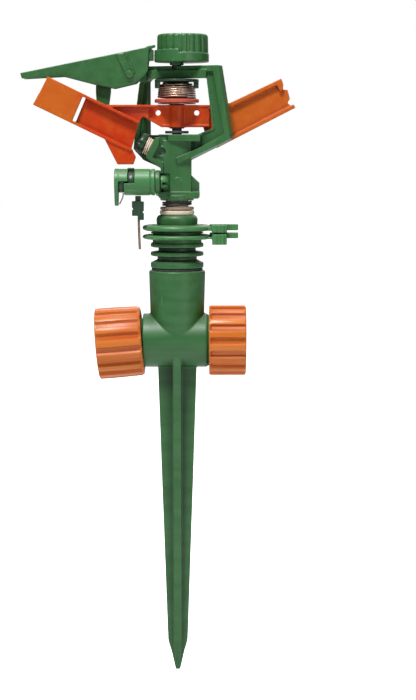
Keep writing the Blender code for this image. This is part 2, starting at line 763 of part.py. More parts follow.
def make_trip_drum():
    """The drum with its lower jaw, its hinge pin and the split snap head."""
    y = TRIP_Y
    h = TRIP_HEIGHT
    drum = rod("trip_drum", (-20.3, y, h), (-10.5, y, h), DRUM_RADIUS, sides=40)
    jaw = rod("lower_jaw", (-25.4, y, h), (-20.0, y, h), DRUM_RADIUS - 0.05, sides=40)
    upper_half = box("upper_half", (-26, y - 8, h - 0.5), (-20.3, y + 8, h + 8))
    cut(jaw, upper_half)
    stub = rod("lever_stub", (-30.0, y, h), (-20.0, y, h), 1.9, sides=20)
    pin = rod("hinge_pin", (-12, y, h), (-6.9, y, h), 2.0, sides=20)
    head = rod("snap_head", (-7.7, y, h), (-4.0, y, h), 3.1, 2.2, sides=24)
    slot = box("snap_slot", (-7.0, y - 4, h - 0.5), (-3.0, y + 4, h + 0.1))
    return cut(join(drum, jaw, stub, pin, head), slot)


def make_reversing_lever():
    """The lever on the drum's stub: its upper jaw and the finger that hangs at its end."""
    y = TRIP_Y
    h = TRIP_HEIGHT
    finger = arc((y, h), 6.5, 200, -20, 14)
    outline = [*finger, (y + 2.6, h - 9.6), (y + 1.1, h - 11.2), (y - 1.1, h - 11.2), (y - 2.6, h - 9.6)]
    lever = plate_yz("reversing_lever", outline, 1.9, -29.15)
    jaw = rod("upper_jaw", (-29.0, y, h), (-23.6, y, h), DRUM_RADIUS, sides=40)
    lower_half = box("lower_half", (-28.2, y - 8, h - 8), (-23, y + 8, h + 0.5))
    cut(jaw, lower_half)
    bore = rod("lever_bore", (-35, y, h), (-20, y, h), 2.25, sides=20)
    return cut(join(lever, jaw), bore)


def make_wire_holder():
    """The clip under the drum that grips the trip wire."""
    y = TRIP_Y
    neck = box("trip_wire_holder", (-20.1, y - 1.5, 81.0), (-17.4, y + 1.5, 84.9))
    left = box("left_jaw", (-21.7, y - 2.1, 75.3), (-18.2, y + 2.1, 82.4))
    right = box("right_jaw", (-18.9, y - 2.0, 73.3), (-16.0, y + 2.0, 82.2))
    hole = rod("wire_hole", (-18.9, y, 70), (-18.9, y, 80), 0.95, sides=16)
    return cut(join(neck, left, right), hole)


def main():
    """Builds the whole sprinkler."""
    green = material("green_plastic", GREEN, 0.42)
    lime = material("bright_green_plastic", BRIGHT_GREEN, 0.42)
    dark = material("dark_green_plastic", DARK_GREEN, 0.45)
    orange = material("orange_plastic", ORANGE, 0.4)
    red = material("red_plastic", RED, 0.4)
    black = material("black_rubber", BLACK, 0.6)
    cream = material("cream_nylon", CREAM, 0.45)
    brown = material("fibre", BROWN, 0.7)
    steel = material("spring_steel", STEEL, 0.3, 1.0)
    copper = material("bronze_wire", BROWN, 0.35, 1.0)

    coupling_axis = pivot("inlet_spin_axis", coupling_point(0))
    cap_axis = pivot("cap_spin_axis", (15.7, 0, TUBE_HEIGHT))
    head_axis = pivot("head_axis", (0, 0, 86))
    arm_axis = pivot("arm_axis", (0, 0, 123), head_axis)
    knob_axis = pivot("knob_axis", (0, 0, KNOB_BOTTOM), head_axis)
    deflector_axis = pivot("deflector_axis", (PIVOT[0], 0, PIVOT[1]), head_axis)
    trip_axis = pivot("trip_axis", (-15, TRIP_Y, TRIP_HEIGHT), head_axis)

    finish(make_spike_tee(), green)
    finish(make_nipple(), green)
    finish(ring("base_seal", 12.6, 11.2, 48.4, 49.2), black)
    finish(ring("spindle_seal", 8.4, 5.9, 34.2, 35.7), black)
    finish(make_bearing_nut(), green)
    for level in COLLAR_HEIGHTS:
        collar_axis = pivot(f"collar_axis_{level}", (0, 0, COLLAR_HEIGHTS[level]))
        finish(make_trip_collar(level), lime, collar_axis)

    finish(make_inlet_coupling(), orange, coupling_axis)
    washer = turned(
        "inlet_washer", [(13.2, 3.0), (13.2, 0.0), (7.5, 0.0), (7.5, 3.0)], coupling_point(14.6),
        (0, math.pi / 2 - COUPLING_TILT, 0), closed=True,
    )
    finish(washer, black, coupling_axis)
    finish(make_end_cap(), orange, cap_axis)
    cap_seal = turned(
        "end_cap_seal", [(12.8, 2.0), (12.8, 0.0), (8.5, 0.0), (8.5, 2.0)], (28.9, 0, TUBE_HEIGHT),
        (0, math.pi / 2, 0), closed=True,
    )
    finish(cap_seal, black, cap_axis)

    finish(make_head_body(), green, head_axis)
    finish(make_bearing_tube(), cream, head_axis)
    finish(ring("nylon_washer", 8.45, BEARING_HOLE, 75.7, 77.6), cream, head_axis)
    finish(ring("fibre_washer", 8.3, BEARING_HOLE, 77.9, 79.3), brown, head_axis)
    finish(wire("thrust_spring", helix(6.85, 79.95, 81.85, 1.8, points=18), 0.45), black, head_axis)
    insert, cap = make_nozzle()
    finish(insert, cream, head_axis)
    finish(cap, dark, head_axis)
    finish(rod("arm_shaft", (0, 0, 110.4), (0, 0, 158.0), SHAFT_RADIUS), steel, head_axis)
    finish(ring("arm_washer", 5.8, SHAFT_HOLE, 115.0, 116.3, 32), black, head_axis)
    finish(make_spring_retainer(), dark, head_axis)
    pin = turned(
        "deflector_pin", [(0, 3.3), (1.9, 3.1), (1.9, 2.2), (1.15, 2.2), (1.15, -12.8), (0, -12.8)],
        (PIVOT[0], 0, PIVOT[1]), (math.pi / 2, 0, 0), steps=20,
    )
    finish(pin, dark, head_axis)

    finish(make_impact_arm(), orange, arm_axis)
    finish(ring("arm_bushing", 3.6, SHAFT_HOLE, 117.4, 131.6, 32), black, arm_axis)
    finish(ring("seat_washer", 9.3, 5.3, 129.2, 129.6), steel, arm_axis)
    seat = turned(
        "spring_seat",
        [(5.2, 134.2), (5.2, 131.8), (SEAT_RADIUS, 131.6), (SEAT_RADIUS, 129.9), (3.9, 129.9), (3.9, 134.2)],
        closed=True,
    )
    finish(seat, red, arm_axis)
    coil = helix(8.6, 132.2, 139.3, 6.4, 8.4)
    finish(wire("arm_spring", coil, 0.46), steel, head_axis)

    finish(make_knob(), green, knob_axis)
    finish(make_deflector(), green, deflector_axis)

    finish(make_trip_drum(), lime, trip_axis)
    finish(make_reversing_lever(), lime, trip_axis)
    finish(make_wire_holder(), dark, trip_axis)
    wire_route = [(-18.9, TRIP_Y, 79.6), (-18.9, TRIP_Y, 72.0), (-18.5, TRIP_Y, 59.0)]
    finish(wire("trip_wire", wire_route, 0.6), copper, trip_axis)
    spring = [(-27.8, TRIP_Y, 80.9), (-27.1, TRIP_Y, 82.2), (-26.3, TRIP_Y, 84.2), (-25.9, TRIP_Y, 86.4)]
    finish(wire("over_centre_spring", spring, 0.3), steel, trip_axis)


for stale in list(bpy.data.objects):
    bpy.data.objects.remove(stale)
PARTS = collection("impact_sprinkler")
CUTTERS = collection("cutters")
main()
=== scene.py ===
"""Impact sprinkler on a ground spike: the finished surfaces, the studio and the camera.

Lengths in this file are millimetres, and heights count from the underside of the tee. The datum
that turns them into the frame's metres is read from the loaded model."""

from __future__ import annotations

import json
import logging
import math
from dataclasses import dataclass
from enum import Enum
from typing import Callable, Iterable, Sequence

import bmesh
import bpy
from mathutils import Matrix, Vector

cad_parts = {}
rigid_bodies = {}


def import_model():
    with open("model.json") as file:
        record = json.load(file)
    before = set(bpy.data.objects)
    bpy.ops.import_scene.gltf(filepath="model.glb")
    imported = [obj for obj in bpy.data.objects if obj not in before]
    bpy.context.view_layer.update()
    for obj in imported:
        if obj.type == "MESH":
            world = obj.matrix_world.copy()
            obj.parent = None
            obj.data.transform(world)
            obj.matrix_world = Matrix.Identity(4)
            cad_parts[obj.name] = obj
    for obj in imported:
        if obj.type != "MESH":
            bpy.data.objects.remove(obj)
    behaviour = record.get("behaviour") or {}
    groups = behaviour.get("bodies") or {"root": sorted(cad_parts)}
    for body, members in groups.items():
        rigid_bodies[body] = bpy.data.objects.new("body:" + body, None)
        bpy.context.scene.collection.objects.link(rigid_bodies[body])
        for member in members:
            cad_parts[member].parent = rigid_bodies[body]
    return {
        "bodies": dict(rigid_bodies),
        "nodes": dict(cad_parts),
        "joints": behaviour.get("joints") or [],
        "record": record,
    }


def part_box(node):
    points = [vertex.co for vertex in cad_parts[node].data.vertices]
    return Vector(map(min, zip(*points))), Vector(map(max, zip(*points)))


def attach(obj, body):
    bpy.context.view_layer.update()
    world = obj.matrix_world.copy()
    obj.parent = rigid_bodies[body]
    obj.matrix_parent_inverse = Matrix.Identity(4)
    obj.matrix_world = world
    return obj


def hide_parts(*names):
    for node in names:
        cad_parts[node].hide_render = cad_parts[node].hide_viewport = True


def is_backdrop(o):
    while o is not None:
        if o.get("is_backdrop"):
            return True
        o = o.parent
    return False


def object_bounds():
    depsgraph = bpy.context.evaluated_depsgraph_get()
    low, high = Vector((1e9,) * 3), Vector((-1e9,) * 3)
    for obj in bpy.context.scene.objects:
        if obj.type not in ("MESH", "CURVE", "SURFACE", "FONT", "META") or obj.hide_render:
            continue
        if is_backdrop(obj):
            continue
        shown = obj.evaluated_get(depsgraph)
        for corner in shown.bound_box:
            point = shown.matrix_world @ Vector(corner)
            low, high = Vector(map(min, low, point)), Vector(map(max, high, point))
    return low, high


LOG = logging.getLogger("sprinkler")
MM = 0.001
DUST_COLOUR = (0.42, 0.4, 0.34)
NOZZLE_ANGLE = math.radians(25.0)
TRIP_Y = -9.0
TRIP_HEIGHT = 91.6
SEAL_HEIGHT = 48.4

Point2 = tuple[float, float]
Point3 = tuple[float, float, float]
Profile = Sequence[tuple[float, ...]]
FLAP_PIVOT: Point2 = (-23.0, 143.6)


class Body(Enum):
    """The moving groups of the sprinkler."""

    STAND = "stand"
    COUPLING = "coupling"
    CAP = "cap"
    COLLAR_UPPER = "collar_upper"
    COLLAR_LOWER = "collar_lower"
    HEAD = "head"
    ARM = "arm"
    KNOB = "knob"
    DEFLECTOR = "deflector"
    TRIP = "trip"
    LEVER = "lever"


class Slot(Enum):
    """The record's material slots."""

    GREEN = "green"
    BRIGHT_GREEN = "bright_green"
    DARK_GREEN = "dark_green"
    ORANGE = "orange"
    RED = "red"
    RUBBER = "black_rubber"
    CREAM = "cream"
    FIBRE = "fibre"
    STEEL = "steel"
    BRONZE = "bronze"


# ---------------------------------------------------------------- shader groups


Tree = bpy.types.NodeTree
Socket = bpy.types.NodeSocket
Material = bpy.types.Material
Piece = bpy.types.Object
Colour = tuple[float, float, float]


def feed(tree: Tree, socket: Socket, value: Socket | float | tuple[float, ...]) -> None:
    """Links another socket to an input, or sets the input's own value."""
    if isinstance(value, Socket):
        tree.links.new(value, socket)
    else:
        socket.default_value = value


def math_node(tree: Tree, operation: str, *values: Socket | float) -> Socket:
    """The result of a math operation on sockets or plain values."""
    node = tree.nodes.new("ShaderNodeMath")
    node.operation = operation
    for socket, value in zip(node.inputs, values):
        feed(tree, socket, value)
    return node.outputs[0]


def map_range(tree: Tree, value: Socket, source: Point2, target: Point2 = (0.0, 1.0)) -> Socket:
    """Maps a value from one range to another, held within its ends."""
    node = tree.nodes.new("ShaderNodeMapRange")
    for label, end in zip(("From Min", "From Max", "To Min", "To Max"), (*source, *target)):
        node.inputs[label].default_value = end
    tree.links.new(value, node.inputs["Value"])
    return node.outputs["Result"]


def noise(
    tree: Tree, where: Socket, scale: Socket, detail: float, roughness: float = 0.5
) -> Socket:
    """The value of a noise texture at a place."""
    node = tree.nodes.new("ShaderNodeTexNoise")
    node.inputs["Detail"].default_value = detail
    node.inputs["Roughness"].default_value = roughness
    tree.links.new(where, node.inputs["Vector"])
    tree.links.new(scale, node.inputs["Scale"])
    return node.outputs["Fac"]


def split_xyz(tree: Tree, vector: Socket) -> bpy.types.bpy_prop_collection:
    """The X, Y and Z outputs of a vector."""
    node = tree.nodes.new("ShaderNodeSeparateXYZ")
    tree.links.new(vector, node.inputs[0])
    return node.outputs


class ShaderKit:
    """The shader node groups that the finishes share."""

    def __init__(self) -> None:
        """Builds each group once."""
        self.mottle = self._mottle()
        self.edges = self._edges()
        self.skin = self._skin()
        self.dust = self._dust()

    @staticmethod
    def _group(name: str, inputs: dict[str, float], outputs: Sequence[str]) -> Tree:
        """Starts a group with float sockets.

        Args:
            name: The group's name.
            inputs: Each input's name and default.
            outputs: The outputs' names.

        Returns:
            The new node tree, with its input and output nodes.
        """
        tree = bpy.data.node_groups.new(name, "ShaderNodeTree")
        for label, value in inputs.items():
            socket = tree.interface.new_socket(label, in_out="INPUT", socket_type="NodeSocketFloat")
            socket.default_value = value
        for label in outputs:
            tree.interface.new_socket(label, in_out="OUTPUT", socket_type="NodeSocketFloat")
        tree.nodes.new("NodeGroupInput").name = "in"
        tree.nodes.new("NodeGroupOutput").name = "out"
        return tree

    @staticmethod
    def _place(tree: Tree) -> Socket:
        """The object's own coordinates."""
        return tree.nodes.new("ShaderNodeTexCoord").outputs["Object"]

    def _mottle(self) -> Tree:
        """Cloudy colour variation and flow streaks of moulded plastic."""
        tree = self._group("moulding_mottle", {"Scale": 60.0, "Streak": 4.0}, ["Cloud", "Streaks"])
        given, result = tree.nodes["in"].outputs, tree.nodes["out"].inputs
        where = self._place(tree)
        tree.links.new(noise(tree, where, given["Scale"], 4.0, 0.55), result["Cloud"])
        stretch = tree.nodes.new("ShaderNodeMapping")
        stretch.inputs["Scale"].default_value = (1.0, 1.0, 0.12)
        tree.links.new(where, stretch.inputs["Vector"])
        scale = math_node(tree, "MULTIPLY", given["Scale"], given["Streak"])
        tree.links.new(noise(tree, stretch.outputs["Vector"], scale, 2.0), result["Streaks"])
        return tree

    def _edges(self) -> Tree:
        """Masks for a painted highlight on convex edges and for painted shade in inner corners."""
        tree = self._group("edge_masks", {}, ["Rim", "Corner"])
        shape = tree.nodes.new("ShaderNodeNewGeometry")
        for label, ends in (("Rim", (0.54, 0.68)), ("Corner", (0.47, 0.36))):
            mask = map_range(tree, shape.outputs["Pointiness"], ends)
            mask.node.interpolation_type = "SMOOTHSTEP"
            tree.links.new(mask, tree.nodes["out"].inputs[label])
        return tree

    def _skin(self) -> Tree:
        """The height of a moulded surface: fine grain with slow sink marks."""
        tree = self._group("moulded_skin", {"Grain": 1400.0, "Sink": 90.0}, ["Height"])
        given = tree.nodes["in"].outputs
        where = self._place(tree)
        grain, sink = (noise(tree, where, given[label], 3.0) for label in ("Grain", "Sink"))
        height = math_node(tree, "MULTIPLY_ADD", grain, 0.35, sink)
        tree.links.new(height, tree.nodes["out"].inputs["Height"])
        return tree

    def _dust(self) -> Tree:
        """A mask of dried water and garden dust that settles on what faces up."""
        tree = self._group("garden_dust", {"Scale": 220.0, "Amount": 0.3}, ["Dust"])
        given = tree.nodes["in"].outputs
        shape = tree.nodes.new("ShaderNodeNewGeometry")
        up = map_range(tree, split_xyz(tree, shape.outputs["Normal"])["Z"], (0.2, 1.0))
        specks = noise(tree, self._place(tree), given["Scale"], 6.0)
        both = math_node(tree, "MULTIPLY", up, specks)
        dust = math_node(tree, "MULTIPLY", both, given["Amount"])
        tree.links.new(dust, tree.nodes["out"].inputs["Dust"])
        return tree


def place_group(
    nodes: bpy.types.Nodes, tree: Tree, values: dict[str, float]
) -> bpy.types.ShaderNodeGroup:
    """Places a shared group in a material.

    Args:
        nodes: The material's nodes.
        tree: The group.
        values: The inputs' own values.

    Returns:
        The group node.
    """
    made = nodes.new("ShaderNodeGroup")
    made.node_tree = tree
    for label, value in values.items():
        made.inputs[label].default_value = value
    return made


def mix_colour(
    tree: Tree,
    factor: Socket,
    first: Socket | tuple[float, ...],
    second: tuple[float, ...],
) -> Socket:
    """Mixes a colour towards a second one by a mask.

    Args:
        tree: The material's node tree.
        factor: The mask.
        first: The colour, or a socket that gives it, where the mask is 0.
        second: The colour where the mask is 1.

    Returns:
        The mixed colour's socket.
    """
    node = tree.nodes.new("ShaderNodeMix")
    node.data_type = "RGBA"
    tree.links.new(factor, node.inputs["Factor"])
    if isinstance(first, Socket):
        tree.links.new(first, node.inputs["A"])
    else:
        node.inputs["A"].default_value = (*first, 1.0)
    node.inputs["B"].default_value = (*second, 1.0)
    return node.outputs["Result"]


def spread_value(tree: Tree, source: Socket, low: float, high: float) -> Socket:
    """Maps a value from 0.3..0.7, where noise mostly lies, to a wanted range."""
    return map_range(tree, source, (0.3, 0.7), (low, high))


def begin_material(name: str) -> tuple[Material, Tree, bpy.types.ShaderNode]:
    """A new material, its node tree and its Principled shader."""
    made = bpy.data.materials.new(name)
    made.use_nodes = True
    return made, made.node_tree, made.node_tree.nodes["Principled BSDF"]


def add_relief(
    tree: Tree, shader: bpy.types.ShaderNode, height: Socket, strength: float, distance: float
) -> None:
    """Bumps a shader's normal by a height, with the distance in metres."""
    bump = tree.nodes.new("ShaderNodeBump")
    bump.inputs["Strength"].default_value = strength
    bump.inputs["Distance"].default_value = distance
    tree.links.new(height, bump.inputs["Height"])
    tree.links.new(bump.outputs["Normal"], shader.inputs["Normal"])


# ---------------------------------------------------------------- finishes


def grained(
    kit: ShaderKit, name: str, colours: tuple[Colour, Colour], clouding: float, mottle: Point2,
    skin: Point2, rough: Point2, relief: Point2,
) -> tuple[Material, bpy.types.ShaderNode]:
    """A clouded and grained surface, as wire and pressed fibre have.

    Args:
        kit: The shared shader groups.
        name: The material's name.
        colours: The main colour, and the one that clouds it.
        clouding: The most that the second colour takes.
        mottle: The mottle's scale and streak.
        skin: The skin's grain and sink.
        rough: The roughness where streaks are weak and where they are strong.
        relief: The bump's strength and its distance in metres.

    Returns:
        The material and its Principled shader.
    """
    made, tree, shader = begin_material(name)
    marks = place_group(tree.nodes, kit.mottle, dict(zip(("Scale", "Streak"), mottle)))
    height = place_group(tree.nodes, kit.skin, dict(zip(("Grain", "Sink"), skin)))
    cloud = spread_value(tree, marks.outputs["Cloud"], 0.0, clouding)
    tree.links.new(mix_colour(tree, cloud, *colours), shader.inputs["Base Color"])
    roughness = spread_value(tree, marks.outputs["Streaks"], *rough)
    tree.links.new(roughness, shader.inputs["Roughness"])
    add_relief(tree, shader, height.outputs["Height"], *relief)
    return made, shader


@dataclass(frozen=True)
class MouldedPlastic:
    """Satin injection-moulded plastic with faint streaks, a little dust, a painted highlight on
    convex edges and painted shade in corners and hollows.
    """

    name: str
    colour: Colour
    # A darker tone for the mottle, which is also the painted shade in inner corners.
    shade: Colour
    # The streak colour, which is also the painted highlight on convex edges.
    edge: Colour
    # The painted shade colour in the piece's own hollows.
    hollow_shade: Colour
    roughness: float = 0.42
    grain: float = 1400.0
    relief: float = 0.12
    dust: float = 0.12
    # The strength of the painted highlight on convex edges.
    rim: float = 0.5
    # The strength and reach of the painted shade in hollows.
    depth: float = 0.75
    reach: float = 0.008
    shine: float = 0.4
    translucence: float = 0.0
    # A lighter colour painted at a long piece's two ends, as painted light.
    painted_light_ends: Colour | None = None

    def build(self, kit: ShaderKit) -> Material:
        """Makes the material.

        Args:
            kit: The shared shader groups.

        Returns:
            The material.
        """
        made, tree, shader = begin_material(self.name)
        mottle = place_group(tree.nodes, kit.mottle, {"Scale": 45.0, "Streak": 5.0})
        edges = place_group(tree.nodes, kit.edges, {})
        dust = place_group(tree.nodes, kit.dust, {"Scale": 260.0, "Amount": self.dust})
        skin = place_group(tree.nodes, kit.skin, {"Grain": self.grain, "Sink": 110.0})
        cloud = spread_value(tree, mottle.outputs["Cloud"], 0.0, 0.55)
        colour = mix_colour(tree, cloud, self.colour, self.shade)
        # Painted light: the two ends are mixed to a lighter colour.
        if self.painted_light_ends is not None:
            colour = mix_colour(tree, self._ends(tree), colour, self.painted_light_ends)
        streaks = spread_value(tree, mottle.outputs["Streaks"], 0.0, 0.16)
        colour = mix_colour(tree, streaks, colour, self.edge)
        # Painted shade: inner corners are mixed towards the shade colour.
        corner = math_node(tree, "MULTIPLY", edges.outputs["Corner"], 0.55)
        colour = mix_colour(tree, corner, colour, self.shade)
        # Painted shade: the piece's own hollows are mixed towards the hollow shade colour.
        colour = mix_colour(tree, self._depths(tree), colour, self.hollow_shade)
        # Painted highlight: convex edges are mixed towards the edge colour.
        rim = math_node(tree, "MULTIPLY", edges.outputs["Rim"], self.rim)
        colour = mix_colour(tree, rim, colour, self.edge)
        colour = mix_colour(tree, dust.outputs["Dust"], colour, DUST_COLOUR)
        tree.links.new(colour, shader.inputs["Base Color"])
        low, high = self.roughness - 0.05, self.roughness + 0.08
        rough = spread_value(tree, mottle.outputs["Cloud"], low, high)
        tree.links.new(rough, shader.inputs["Roughness"])
        add_relief(tree, shader, skin.outputs["Height"], self.relief, 0.0004)
        shader.inputs["Specular IOR Level"].default_value = self.shine
        shader.inputs["Subsurface Weight"].default_value = self.translucence
        shader.inputs["Subsurface Radius"].default_value = (0.002, 0.002, 0.002)
        return made

    def _depths(self, tree: Tree) -> Socket:
        """A mask of painted shade in the piece's own hollows."""
        hollow_shade = tree.nodes.new("ShaderNodeAmbientOcclusion")
        hollow_shade.inside = False
        hollow_shade.only_local = True
        hollow_shade.samples = 8
        hollow_shade.inputs["Distance"].default_value = self.reach
        return map_range(tree, hollow_shade.outputs["AO"], (0.92, 0.35), (0.0, self.depth))

    @staticmethod
    def _ends(tree: Tree) -> Socket:
        """A mask that is 1 at the two ends of a long piece, where painted light makes the colour
        lighter.
        """
        place = tree.nodes.new("ShaderNodeTexCoord")
        along = split_xyz(tree, place.outputs["Object"])["X"]
        masks = [map_range(tree, along, ends) for ends in ((0.014, 0.024), (-0.043, -0.05))]
        return math_node(tree, "MAXIMUM", *masks)


@dataclass(frozen=True)
class DrawnWire:
    """Drawn metal wire with lengthwise polish and tarnish."""

    name: str
    colour: Colour
    tarnish: Colour
    roughness: float = 0.28

    def build(self, kit: ShaderKit) -> Material:
        """Makes the material.

        Args:
            kit: The shared shader groups.

        Returns:
            The material.
        """
        made, shader = grained(
            kit, self.name, (self.colour, self.tarnish), clouding=0.8, mottle=(240.0, 6.0),
            skin=(2600.0, 500.0), rough=(self.roughness - 0.08, self.roughness + 0.15),
            relief=(0.15, 0.0002),
        )
        shader.inputs["Metallic"].default_value = 1.0
        return made


@dataclass(frozen=True)
class PressedFibre:
    """Rubber or pressed fibre: matt, with a coarse grain and a dusty bloom."""

    name: str
    colour: Colour
    bloom: Colour
    roughness: float = 0.68

    def build(self, kit: ShaderKit) -> Material:
        """Makes the material.

        Args:
            kit: The shared shader groups.

        Returns:
            The material.
        """
        return grained(
            kit, self.name, (self.colour, self.bloom), clouding=0.7, mottle=(300.0, 3.0),
            skin=(1900.0, 320.0), rough=(self.roughness - 0.1, self.roughness + 0.1),
            relief=(0.35, 0.0003),
        )[0]


@dataclass(frozen=True)
class StudioPaper:
    """The pale seamless paper under the object."""

    name: str = "studio_paper"
    colour: Colour = (0.8, 0.8, 0.8)
    glow: float = 1.0

    def build(self) -> Material:
        """Makes the material, with a faint paper tooth."""
        made, tree, shader = begin_material(self.name)
        noise = tree.nodes.new("ShaderNodeTexNoise")
        noise.inputs["Scale"].default_value = 12.0
        soft = spread_value(tree, noise.outputs["Fac"], 0.86, 0.94)
        tree.links.new(soft, shader.inputs["Roughness"])
        shader.inputs["Base Color"].default_value = (*self.colour, 1.0)
        seen = tree.nodes.new("ShaderNodeLightPath")
        glow = math_node(tree, "MULTIPLY", seen.outputs["Is Camera Ray"], self.glow)
        shader.inputs["Emission Color"].default_value = (1.0, 1.0, 1.0, 1.0)
        tree.links.new(glow, shader.inputs["Emission Strength"])
        return made


class Finishes:
    """Every finish of the sprinkler, built once."""

    def __init__(self) -> None:
        """Builds the groups and then the materials."""
        kit = ShaderKit()
        # Each plastic gives its own colour, a darker tone that is also its painted corner shade, a
        # streak colour that is also its painted edge highlight, and the painted shade of its
        # hollows.
        self.arm_orange = MouldedPlastic(
            "arm_orange", (0.385, 0.028, 0.0015), (0.34, 0.02, 0.001), (0.52, 0.17, 0.03),
            (0.28, 0.004, 0.001), 0.38, translucence=0.04, dust=0.02, rim=0.7, depth=0.9,
            reach=0.01,
            # The arm's lighter orange ends are painted light.
            shine=0.18, painted_light_ends=(0.365, 0.07, 0.005),
        ).build(kit)
        self.made: dict[Slot, Material] = {
            Slot.GREEN: MouldedPlastic(
                "garden_green", (0.0155, 0.082, 0.018), (0.011, 0.062, 0.013), (0.085, 0.25, 0.1),
                (0.004, 0.026, 0.008), depth=0.9,
            ).build(kit),
            Slot.BRIGHT_GREEN: MouldedPlastic(
                "bright_green", (0.026, 0.128, 0.034), (0.019, 0.1, 0.025), (0.15, 0.38, 0.16),
                (0.007, 0.045, 0.012), depth=0.9,
            ).build(kit),
            Slot.DARK_GREEN: MouldedPlastic(
                "deep_green", (0.007, 0.03, 0.012), (0.004, 0.02, 0.008), (0.04, 0.1, 0.05),
                (0.002, 0.009, 0.004), 0.38, dust=0.05,
            ).build(kit),
            Slot.ORANGE: MouldedPlastic(
                "signal_orange", (0.4, 0.1, 0.007), (0.39, 0.062, 0.004), (0.68, 0.32, 0.08),
                (0.36, 0.012, 0.002), 0.36, translucence=0.04, dust=0.02, depth=1.0, reach=0.004,
                shine=0.3,
            ).build(kit),
            Slot.RED: MouldedPlastic(
                "brick_red", (0.38, 0.055, 0.03), (0.28, 0.03, 0.02), (0.6, 0.2, 0.12),
                (0.16, 0.012, 0.008), 0.4,
            ).build(kit),
            Slot.CREAM: MouldedPlastic(
                "natural_nylon", (0.55, 0.46, 0.35), (0.47, 0.38, 0.28), (0.8, 0.74, 0.64),
                (0.4, 0.31, 0.23), 0.4, translucence=0.1, depth=0.6,
            ).build(kit),
            Slot.RUBBER: PressedFibre(
                "black_rubber", (0.012, 0.013, 0.013), (0.04, 0.04, 0.038),
            ).build(kit),
            Slot.FIBRE: PressedFibre(
                "brown_fibre", (0.2, 0.13, 0.085), (0.3, 0.22, 0.16),
            ).build(kit),
            Slot.STEEL: DrawnWire(
                "spring_steel", (0.42, 0.29, 0.22), (0.2, 0.12, 0.09), 0.34,
            ).build(kit),
            Slot.BRONZE: DrawnWire(
                "bronze_wire", (0.42, 0.29, 0.22), (0.16, 0.11, 0.09), 0.35,
            ).build(kit),
        }

    def of(self, slot: Slot) -> Material:
        """The material of a slot."""
        return self.made[slot]


# ---------------------------------------------------------------- mesh tools


class Datum:
    """Turns heights above the tee's underside into the frame's metres."""

    base: float = 0.0

    @classmethod
    def read(cls) -> None:
        """Reads the base height from the seal under the bearing sleeve."""
        low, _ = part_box("base_seal")
        cls.base = low.z - SEAL_HEIGHT * MM

    @classmethod
    def point(cls, x: float, y: float, height: float) -> Vector:
        """A point in the frame, in metres."""
        return Vector((x * MM, y * MM, height * MM + cls.base))

    @classmethod
    def place(cls, x: float = 0.0, y: float = 0.0, height: float = 0.0) -> Matrix:
        """A move to a point given in millimetres."""
        return Matrix.Translation(cls.point(x, y, height))


def put_in_scene(name: str, mesh: bpy.types.Mesh, place: Matrix | None = None) -> Piece:
    """Links a mesh as a new object.

    Args:
        name: The object's name.
        mesh: Its mesh.
        place: Where it stands, in metres.

    Returns:
        The object.
    """
    made = bpy.data.objects.new(name, mesh)
    bpy.context.scene.collection.objects.link(made)
    if place is not None:
        made.matrix_world = place
    return made


def from_bmesh(name: str, bm: bmesh.types.BMesh, place: Matrix) -> Piece:
    """Makes an object of a finished bmesh and frees it."""
    mesh = bpy.data.meshes.new(name)
    bm.to_mesh(mesh)
    bm.free()
    return put_in_scene(name, mesh, place)


def swept(
    name: str,
    profile: Profile,
    place: Matrix,
    steps: int = 96,
    closed: bool = False,
    wave: Callable[[float], float] | None = None,
) -> Piece:
    """A profile turned about local Z, whose radius may follow a wave round the turn.

    Args:
        name: The object's name.
        profile: Radius, height and, where there is a wave, how deep it bites there.
        place: The turned piece's place.
        steps: The divisions of the turn.
        closed: True for a ring, whose profile closes on itself.
        wave: The bite from 0 to 1 at an angle in radians.

    Returns:
        The turned object.
    """
    bm = bmesh.new()
    rings = []
    for entry in profile:
        radius, height = entry[0], entry[1]
        bite = entry[2] if len(entry) > 2 else 0.0
        if radius <= 1e-6:
            rings.append([bm.verts.new((0.0, 0.0, height * MM))])
            continue
        ring = []
        for i in range(steps):
            turn = 2 * math.pi * i / steps
            r = radius - (bite * wave(turn) if wave else 0.0)
            ring.append(
                bm.verts.new((r * math.cos(turn) * MM, r * math.sin(turn) * MM, height * MM))
            )
        rings.append(ring)
    pairs = list(zip(rings, rings[1:]))
    if closed:
        pairs.append((rings[-1], rings[0]))
    for above, below in pairs:
        for i in range(steps):
            j = (i + 1) % steps
            corners = [
                above[i % len(above)], below[i % len(below)], below[j % len(below)],
                above[j % len(above)],
            ]
            unique = list(dict.fromkeys(corners))
            if len(unique) > 2:
                bm.faces.new(unique)
    bmesh.ops.recalc_face_normals(bm, faces=bm.faces)
    return crease(from_bmesh(name, bm, place))


def crease(piece: Piece, degrees: float = 40.0) -> Piece:
    """Shades a piece smooth, with sharp edges past an angle."""
    piece.data.shade_smooth()
    piece.data.set_sharp_from_angle(angle=math.radians(degrees))
    return piece


def applied(piece: Piece) -> Piece:
    """Replaces a piece's mesh by what its modifiers make of it."""
    bpy.context.view_layer.update()
    seen = piece.evaluated_get(bpy.context.evaluated_depsgraph_get())
    mesh = bpy.data.meshes.new_from_object(seen)
    piece.modifiers.clear()
    piece.data = mesh
    return piece


def poly_curve(name: str, dimensions: str, runs: Iterable[Sequence[Point3]]) -> Piece:
    """Links a curve of straight runs through points in metres."""
    curve = bpy.data.curves.new(name, "CURVE")
    curve.dimensions = dimensions
    for run in runs:
        spline = curve.splines.new("POLY")
        spline.points.add(len(run) - 1)
        for point, place in zip(spline.points, run):
            point.co = (*place, 1.0)
    made = bpy.data.objects.new(name, curve)
    bpy.context.scene.collection.objects.link(made)
    return made


